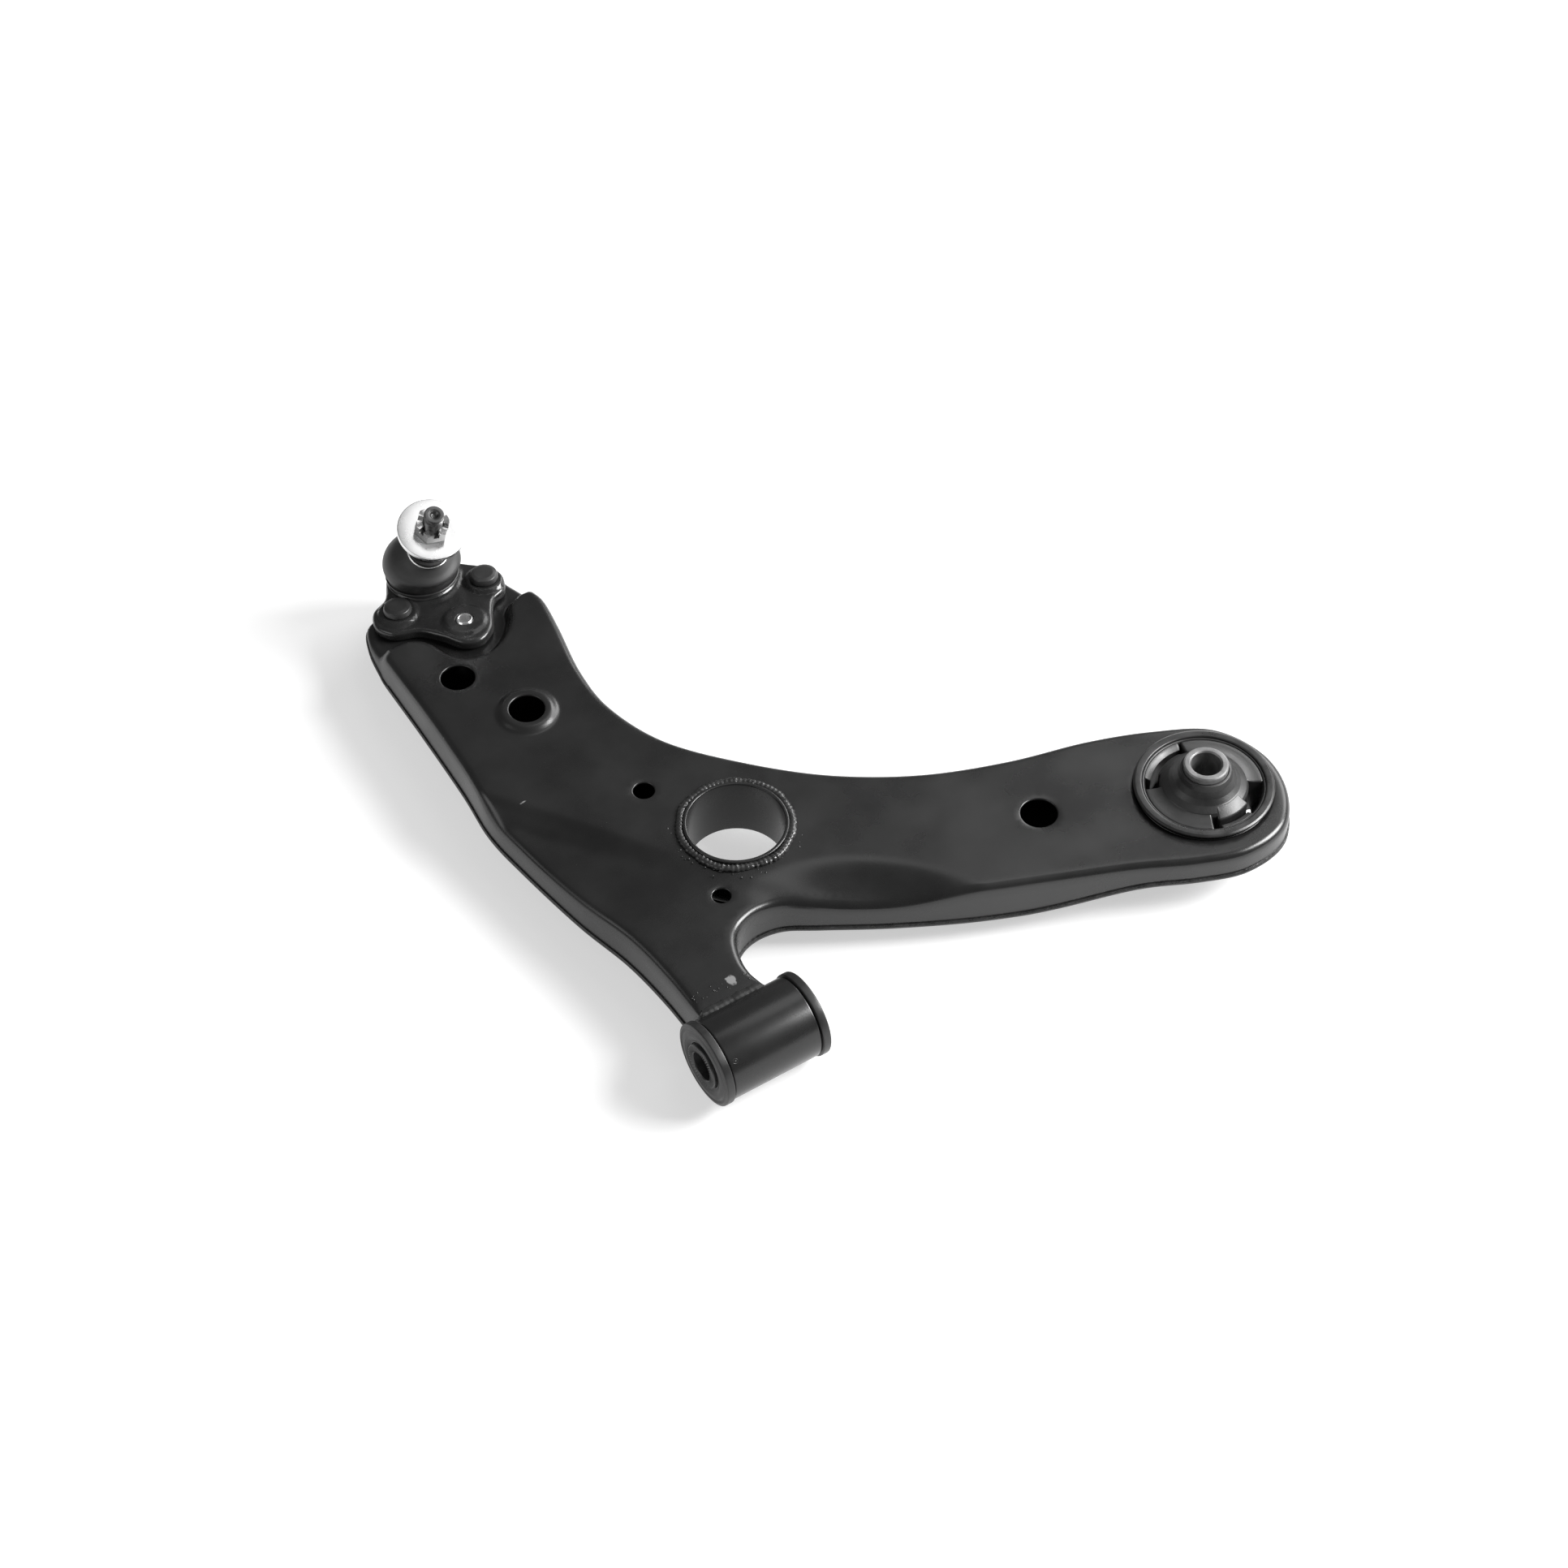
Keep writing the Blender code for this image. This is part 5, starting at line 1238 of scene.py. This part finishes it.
lining = rounded([(32.4, 43.4, 0.5), (33.2, 44.8, 0.6), (34.1, 45.1, 0.3), (34.1, can_low + 1, 0.3),
                  (27.8, can_low + 1, 0.5), (27.8, can_low + 4, 1.5), (31.8, can_low + 9, 2.0)])
piece(turned("ring_lining", lining, 128), rear_frame, bush_rubber, "arm", ["rear_bush_rubber"])
core = rounded([(12.8, 58.2, 0.3), (14.2, 57.8, 0.6), (15.2, 54.5, 1.2), (17.5, 51.0, 2.0), (20.0, 48.5, 2.0),
                (23.5, 46.2, 1.5), (24.7, 44.6, 1.0), (24.8, 25.0, 2.0), (18.0, 14.0, 2.0), (14.6, 9.8, 0.6),
                (12.8, 9.5, 0.3)], 5)
piece(turned("rubber_core", core, 128), rear_frame, bush_rubber, "rear_sleeve")

leg_stations = [(21.5, 47.0, 18.0), (23.5, 45.9, 19.0), (25.5, 45.3, 20.0), (28.0, 44.9, 20.6),
                (30.5, 44.8, 21.0), (33.2, 44.8, 21.4)]
for label, start_angle, end_angle in (("left", 153, 243), ("right", -30, 77)):
    leg = sector(f"rubber_leg_{label}", start_angle, end_angle, leg_stations, 1.6)
    leg_piece = piece(leg, rear_frame, bush_rubber)
    middle = radians((start_angle + end_angle) / 2)
    away = Vector((cos(middle), sin(middle), 0.0)) * MM
    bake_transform(leg_piece)

stop_stations = [(29.4, 42.4, 24.0), (31.0, 43.8, 23.0), (33.2, 44.8, 22.0)]
rubber_block("stop_outboard", 79, 139, stop_stations, "arm", 0.8)
rubber_block("stop_inboard", 251, 287, [(29.8, 43.6, 24.0), (33.2, 44.7, 22.0)], "arm", 0.7)
bumper_stations = [(20.0, 48.6, 16.0), (23.5, 46.4, 24.0), (27.0, 44.4, 29.0)]
rubber_block("bumper_inboard", 250, 297, bumper_stations, "rear_sleeve", 1.6)
rubber_block("bumper_outboard", 84, 132, [(20.0, 48.6, 16.0), (23.5, 46.2, 17.0), (25.8, 44.0, 20.0)],
             "rear_sleeve", 1.6)
rear_sleeve_corners = [(8.5, 0.8, 0.2), (9.3, 0.0, 0.2), (11.8, 0.0, 0.3), (12.5, 0.8, 0.3),
                       (12.5, 61.2, 0.3), (11.8, 62.0, 0.3), (9.3, 62.0, 0.2), (8.5, 61.2, 0.2)]
rear_sleeve = turned("rear_sleeve_skin", rounded(rear_sleeve_corners, 3), 128)
piece(rear_sleeve, rear_frame, sleeve_steel, "rear_sleeve", ["rear_bush_sleeve"])
print("rear bush built")

# %% [markdown]
# ## The ball joint
# The ball joint is a forging: a cup round the ball, and a flange with three lobes that bolts
# down on the arm. Its skin is rough and its edges are well rounded. The bosses for the bolts
# stand a little above the rest, and a fillet joins the flange to the cup.

# %% Forged housing
FLANGE_TOP, FLANGE_THICKNESS = 1.0, 8.0
COLLAR_RADIUS = 21.0
LEAN = cos(HOUSING_LEAN)
lobes = [(40, 384), (52, 371), (56, 358), (52, 348), (43, 344), (37, 336), (30, 324), (19, 318),
         (9, 322), (2, 334), (-7, 345), (-20, 351), (-25.5, 362), (-21, 374), (-10, 380), (-4, 389)]
lobes += [tuple(p) for p in arc(BALL[:2], COLLAR_RADIUS + 0.5, 150.0, 25.0, 5)]
flange_loop = splined([(x - BALL.x, (y - BALL.y) / LEAN) for x, y in lobes], True, 2.0)[::-1]
bolt_spots = {name: (x - BALL.x, (y - BALL.y) / LEAN) for name, (x, y) in BOLT_PLACES.items()}


def flange_level(x, y):
    """The flange's upper face in the housing's own frame."""
    level = np.full(len(x), FLANGE_TOP) - 0.9
    for name, wide, rise in (("left", 10.6, 2.1), ("right", 10.6, 2.1), ("inner", 11.5, 1.3)):
        away = np.hypot(x - bolt_spots[name][0], y - bolt_spots[name][1])
        level = level + rise * (1 - smooth((away - wide) / 1.8))
    from_cup = np.hypot(x, y) - COLLAR_RADIUS
    level = level + 1.2 * (1 - smooth(from_cup / 2.6))
    uneven = [noise.noise(Vector((a / 5.0, b / 5.0, 1.0))) for a, b in zip(x, y)]
    rough = [noise.noise(Vector((a / 1.6, b / 1.6, 8.0))) for a, b in zip(x, y)]
    strip = 1 - smooth(np.hypot((x + 10.0) / 7.0, (y + 45.0) / 9.0))
    return level + 0.14 * np.array(uneven) + (0.05 + 0.35 * strip) * np.array(rough)


def flange_under(x, y):
    """The machined underside of the flange."""
    return np.full(len(x), FLANGE_TOP - FLANGE_THICKNESS)


flange_holes = [(x, y, 5.3) for x, y in bolt_spots.values()] + [(0.0, 0.0, 17.0)]
flange = plate("forged_flange", flange_loop, flange_holes, flange_level, flange_under, 2.4, 1.5,
               turns=(0, 15, 30, 45, 60, 75, 90))
piece(flange, housing_frame, forged_paint, "arm", ["ball_joint_housing"], 60.0)

cup_corners = [(14.6, 7.5, 0.6), (17.6, 7.5, 0.6), (17.6, 3.2, 0.5), (20.0, 3.0, 0.6), (21.0, 2.0, 0.6),
               (21.0, -6.5, 0.8), (19.5, -8.4, 0.8), (19.5, -17.2, 0.8), (17.6, -19.0, 0.8),
               (15.5, -19.0, 0.3), (15.5, -16.0, 0.2), (11.0, -15.6, 0.2), (15.8, -5.0, 6.0),
               (15.8, 4.0, 6.0)]
piece(turned("ball_cup", rounded(cup_corners), 128), housing_frame, forged_paint, "arm")
cap_corners = [(0.0, -16.4, 0), (15.1, -16.4, 0.3), (15.1, -18.2, 0.5), (13.4, -18.9, 0.5),
               (6.0, -18.8, 0.8), (4.2, -18.2, 0.8), (0.0, -18.2, 0)]
piece(turned("cup_cap", rounded(cap_corners, closed=False), 96), housing_frame, dark_steel,
      "arm", ["ball_joint_cap"])
print("housing built")


# %% [markdown]
# The ball and its stud are one turned piece with a rolled thread. The thread is modelled as
# a real helix, because its tip shows above the nut. The thread climbs one pitch in each turn,
# so every point's radius depends on its height and its angle together.

# %% Ball stud
def helix(major, pitch, low, high):
    """A shape function that cuts a thread between two heights."""
    def shape(r, angle, z):
        if not low <= z <= high or r < major - 0.4:
            return r, z
        phase = (z / pitch - angle / (2 * pi)) % 1.0
        depth = 0.6 * pitch * (1 - abs(2 * phase - 1)) * smooth(min(z - low, high - z) / pitch)
        return r - float(depth), z
    return shape


def levels(top, low, radius, step):
    """Evenly spaced points down a cylinder."""
    count = int((top - low) / step)
    return [(radius, top - (top - low) * k / count) for k in range(count + 1)]


BALL_RADIUS, STUD_END, THREAD = 13.0, 75.0, 5.8
stud_top = rounded([(0.0, STUD_END - 2.2, 0), (1.6, STUD_END - 1.6, 0.2), (2.5, STUD_END - 0.5, 0.2),
                    (3.3, STUD_END - 0.35, 0.1), (3.4, STUD_END, 0.1), (5.3, STUD_END, 0.3),
                    (5.75, STUD_END - 0.5, 0.2), (5.75, STUD_END - 1.6, 0.2)], 3, False)
stud_low = rounded([(THREAD, 55.0, 0), (6.8, 54.6, 0.3), (8.8, 36.5, 0.5), (8.8, 30.0, 1.0), (7.0, 24.0, 2.0),
                    (7.0, sqrt(BALL_RADIUS ** 2 - 49), 0)], 4, False)
ball_arc = [(BALL_RADIUS * sin(a), BALL_RADIUS * cos(a)) for a in np.radians(np.linspace(33, 160, 40))]
stud_outline = stud_top + levels(STUD_END - 3.2, 55.2, THREAD, 0.25) + stud_low + ball_arc
stud_outline.append((0.0, BALL_RADIUS * cos(radians(160))))
stud = turned("ball_stud_skin", stud_outline, 96, helix(THREAD, 1.25, 55.4, STUD_END - 3.3))
piece(stud, stud_frame, stud_steel, "stud", ["ball_stud"], 30.0)

# %% [markdown]
# The disc is faced on a lathe. Its fine rings spread a highlight into bright wedges, like
# those on the bottom of a pan, so the shader's reflections are stretched round the axis.

# %% Turned disc
turned_aluminium_tree = turned_aluminium.node_tree
disc_shader = turned_aluminium_tree.nodes["Principled BSDF"]
round_axis = turned_aluminium_tree.nodes.new("ShaderNodeTangent")
round_axis.direction_type = "RADIAL"
round_axis.axis = "Z"
link(turned_aluminium_tree, round_axis, 0, disc_shader, "Tangent")
disc_shader.inputs["Anisotropic"].default_value = 0.55
DISC_BORE, DISC_RADIUS, DISC_LOW, DISC_HIGH = 6.2, 19.8, 55.3, 58.3
disc_outline = rounded([(DISC_BORE, DISC_HIGH, 0.4), (DISC_RADIUS, DISC_HIGH, 0.5),
                        (DISC_RADIUS, DISC_LOW, 0.5), (DISC_BORE, DISC_LOW, 0.3)])
disc_mesh = turned("turned_disc", disc_outline, 160)
disc_mesh.materials.append(turned_aluminium)
disc_mesh.shade_smooth()
disc_mesh.set_sharp_from_angle(angle=radians(38))
disc = bpy.data.objects.new("turned_disc", disc_mesh)
bpy.context.scene.collection.objects.link(disc)
disc.matrix_world = stud_frame
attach(disc, "stud")
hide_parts("spacer_disc")

# %% [markdown]
# The castle nut is a hexagon with a slot through the middle of each flat, for a split pin.
# Its top corners are turned off at an angle.

# %% Castle nut
NUT_FLATS, NUT_LOW, NUT_HIGH, NUT_TURN = 18.0, 58.6, 66.6, 45.0
nut_loop = hexagon(NUT_FLATS)
nut_cuts = []
chamfer = rounded([(0.0, NUT_HIGH + 1, 0), (8.2, NUT_HIGH + 1, 0), (12.4, NUT_HIGH - 2.8, 0),
                   (12.4, NUT_LOW + 0.4, 0), (9.6, NUT_LOW - 0.3, 0), (0.0, NUT_LOW - 0.3, 0)], 1, False)
nut_cuts.append(("INTERSECT", turned("nut_chamfer", chamfer, 96)))
nut_cuts.append(("DIFFERENCE", prism("nut_bore", hole_ring(0, 0, 6.1, 64), NUT_LOW - 2, NUT_HIGH + 2)))
SLOT_DEPTH = 3.6
slot_loop = [(-15, -1.6), (15, -1.6), (15, 1.6), (-15, 1.6)]
for k in range(3):
    slot = prism(f"nut_slot_{k}", slot_loop, NUT_HIGH - SLOT_DEPTH, NUT_HIGH + 2)
    slot.transform(Matrix.Rotation(radians(30.0 + 60.0 * k), 4, "Z"))
    nut_cuts.append(("DIFFERENCE", slot))
castle_nut = carved(prism("castle_nut_skin", nut_loop, NUT_LOW, NUT_HIGH), nut_cuts, 0.3)
castle_nut.transform(Matrix.Rotation(radians(NUT_TURN), 4, "Z"))
piece(castle_nut, stud_frame, bright_zinc, "stud", ["castle_nut"], 30.0)
print("stud, disc and nut built")

# %% [markdown]
# ## The dust boot
# A rubber boot keeps grease in and water out. Its foot is held to the cup by a spring ring and
# its neck to the stud by another. The stud leans, so the boot bulges on one side. The ball
# turns in two directions. The boot is made as two halves, which meet at one height.

# %% Dust boot
BOOT_SPLIT = 20.0
BOOT_BEND = atan2(-stud_axis.y, stud_axis.z) + HOUSING_LEAN
boot_outer = splined([(11.0, 35.5), (10.9, 33.0), (11.2, 31.0), (14.5, 27.4), (19.5, 23.6), (22.0, 19.4),
                      (22.6, 15.0), (22.2, 11.0), (20.8, 7.4), (20.2, 5.4), (20.6, 3.4)], False, 0.6)
boot_inner = splined([(17.9, 3.4), (17.9, 8.1), (20.2, 11.4), (20.6, 15.0), (20.0, 18.8), (17.8, 22.2),
                      (13.2, 26.0), (9.3, 30.2), (9.1, 35.5)], False, 0.8)


def boot_part(name, above):
    """One half of the boot: its wall above or below the split, closed at the cut."""
    outer = [p for p in boot_outer if (p[1] >= BOOT_SPLIT) == above]
    inner = [p for p in boot_inner if (p[1] >= BOOT_SPLIT) == above]
    cut_outer = (float(np.interp(BOOT_SPLIT, boot_outer[::-1, 1], boot_outer[::-1, 0])), BOOT_SPLIT)
    cut_inner = (float(np.interp(BOOT_SPLIT, boot_inner[:, 1], boot_inner[:, 0])), BOOT_SPLIT)
    if above:
        profile = outer + [cut_outer, cut_inner] + inner
    else:
        profile = [cut_outer] + outer + inner + [cut_inner]
    mesh = turned(name, [(float(r), float(z)) for r, z in profile], 128)
    for vertex in mesh.vertices:
        lift = float(smooth((vertex.co.z / MM - 9.0) / 20.5))
        vertex.co = Matrix.Rotation(BOOT_BEND * lift, 4, "X") @ vertex.co
    return piece(mesh, housing_frame, boot_rubber, None, (), 60.0)


boot_low_half = boot_part("boot_lower_half", False)
boot_high_half = boot_part("boot_upper_half", True)
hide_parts("dust_boot")
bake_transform(boot_low_half)
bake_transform(boot_high_half)

# %% Spring rings
lower_wire = [(r, z) for r, z in arc((21.0, 5.5), 0.6, 90.0, -270.0, 16)[:-1]]
upper_wire = [(r, z) for r, z in arc((11.6, 33.6), 0.55, 90.0, -270.0, 16)[:-1]]
piece(turned("lower_spring_ring", lower_wire, 128), housing_frame, dark_steel, "arm",
      ["boot_lower_ring"])
piece(turned("upper_spring_ring", upper_wire, 96), stud_frame, bright_zinc, "ball_tilt",
      ["boot_upper_ring"])
print("boot built")

# %% [markdown]
# ## Bolts and nuts
# Two painted bolts come down through the outer lobes and are held by nuts below the arm. The
# third comes up from below and is screwed into the forging, and its bright tip shows on top.

# %% Bolts from above
HEAD_LOW = FLANGE_TOP + 1.5
NUT_TOP = FLANGE_TOP - FLANGE_THICKNESS - 0.3 - 2 * SHEET - SHEET_GAP - 0.3
NUT_BOTTOM = NUT_TOP - 9.0
BOLT_FLATS = 16.0
BOLT_END = NUT_BOTTOM - 12.8


def bolt_frame(name):
    """Place of a bolt's axis on the flange, with the seat at the ball's height."""
    x, y = bolt_spots[name]
    return housing_frame @ Matrix.Translation((x * MM, y * MM, 0.0))


for side in ("left", "right"):
    head = rounded([(0.0, HEAD_LOW + 4.1, 0), (5.4, HEAD_LOW + 4.0, 1.5), (7.6, HEAD_LOW + 3.3, 1.0),
                    (8.2, HEAD_LOW + 1.6, 0.8), (8.4, HEAD_LOW + 0.4, 0.3), (8.2, HEAD_LOW, 0.2),
                    (5.0, HEAD_LOW, 0)], 5, False)
    shank = levels(HEAD_LOW - 0.5, BOLT_END + 0.8, 5.0, 0.35)
    bolt = turned(f"bolt_{side}", head + shank + [(4.2, BOLT_END), (0.0, BOLT_END)], 64,
                  helix(5.0, 1.5, BOLT_END + 0.6, NUT_TOP + 3.0))
    piece(bolt, bolt_frame(side), fastener_paint, "arm", [f"flange_bolt_{side}"], 30.0)

    ends = rounded([(0.0, NUT_TOP + 1, 0), (8.0, NUT_TOP + 0.1, 0), (11.5, NUT_TOP - 2.0, 0),
                    (11.5, NUT_BOTTOM + 2.0, 0), (8.0, NUT_BOTTOM - 0.1, 0),
                    (0.0, NUT_BOTTOM - 1, 0)], 1, False)
    cuts = [("INTERSECT", turned(f"nut_ends_{side}", ends, 64)),
            ("DIFFERENCE", prism(f"nut_hole_{side}", hole_ring(0, 0, 5.2, 48), NUT_BOTTOM - 2, NUT_TOP + 2))]
    nut = carved(prism(f"nut_{side}", hexagon(BOLT_FLATS), NUT_BOTTOM, NUT_TOP), cuts, 0.25)
    piece(nut, bolt_frame(side), dark_steel, "arm", [f"flange_nut_{side}"], 30.0)

# %% Bolt from below
TIP = FLANGE_TOP + 1.0
tip_outline = rounded([(0.0, TIP - 0.3, 0), (3.2, TIP - 0.3, 0.2), (3.6, TIP, 0.1), (4.3, TIP, 0.3),
                       (5.0, TIP - 0.9, 0.2), (5.0, TIP - 1.4, 0)], 3, False)
inner_shank = levels(TIP - 1.6, NUT_TOP - 1.0, 5.0, 0.35)
inner_bolt = turned("bolt_inner", tip_outline + inner_shank + [(0.0, NUT_TOP - 1.0)], 64,
                    helix(5.0, 1.5, NUT_TOP - 1.0, TIP - 1.5))
piece(inner_bolt, bolt_frame("inner"), bright_zinc, "arm", ["flange_bolt_inner"], 30.0)
head_ends = rounded([(0.0, NUT_TOP + 1, 0), (11.5, NUT_TOP + 1, 0), (11.5, NUT_TOP - 4.6, 0),
                     (7.6, NUT_TOP - 6.6, 0), (0.0, NUT_TOP - 6.9, 0)], 1, False)
inner_head = carved(prism("bolt_inner_head", hexagon(BOLT_FLATS), NUT_TOP - 6.5, NUT_TOP),
                    [("INTERSECT", turned("head_ends", head_ends, 64))], 0.25)
piece(inner_head, bolt_frame("inner"), bright_zinc, "arm", (), 30.0)
print("fasteners built")

# %% [markdown]
# ## Pieces that keep their engineering shape
# The can of the front bush and the liner of the ball are hidden inside the other pieces and
# their shape is already right. They only need a finish.

# %% Kept pieces
for name, look, slot in (("front_bush_can", can_steel, "dark_steel"),
                         ("ball_seat_liner", seat_polymer, "polymer")):
    node = frame["nodes"][name]
    node.data.materials[0] = look
print("kept:", [n for n in frame["nodes"] if not frame["nodes"][n].hide_render])
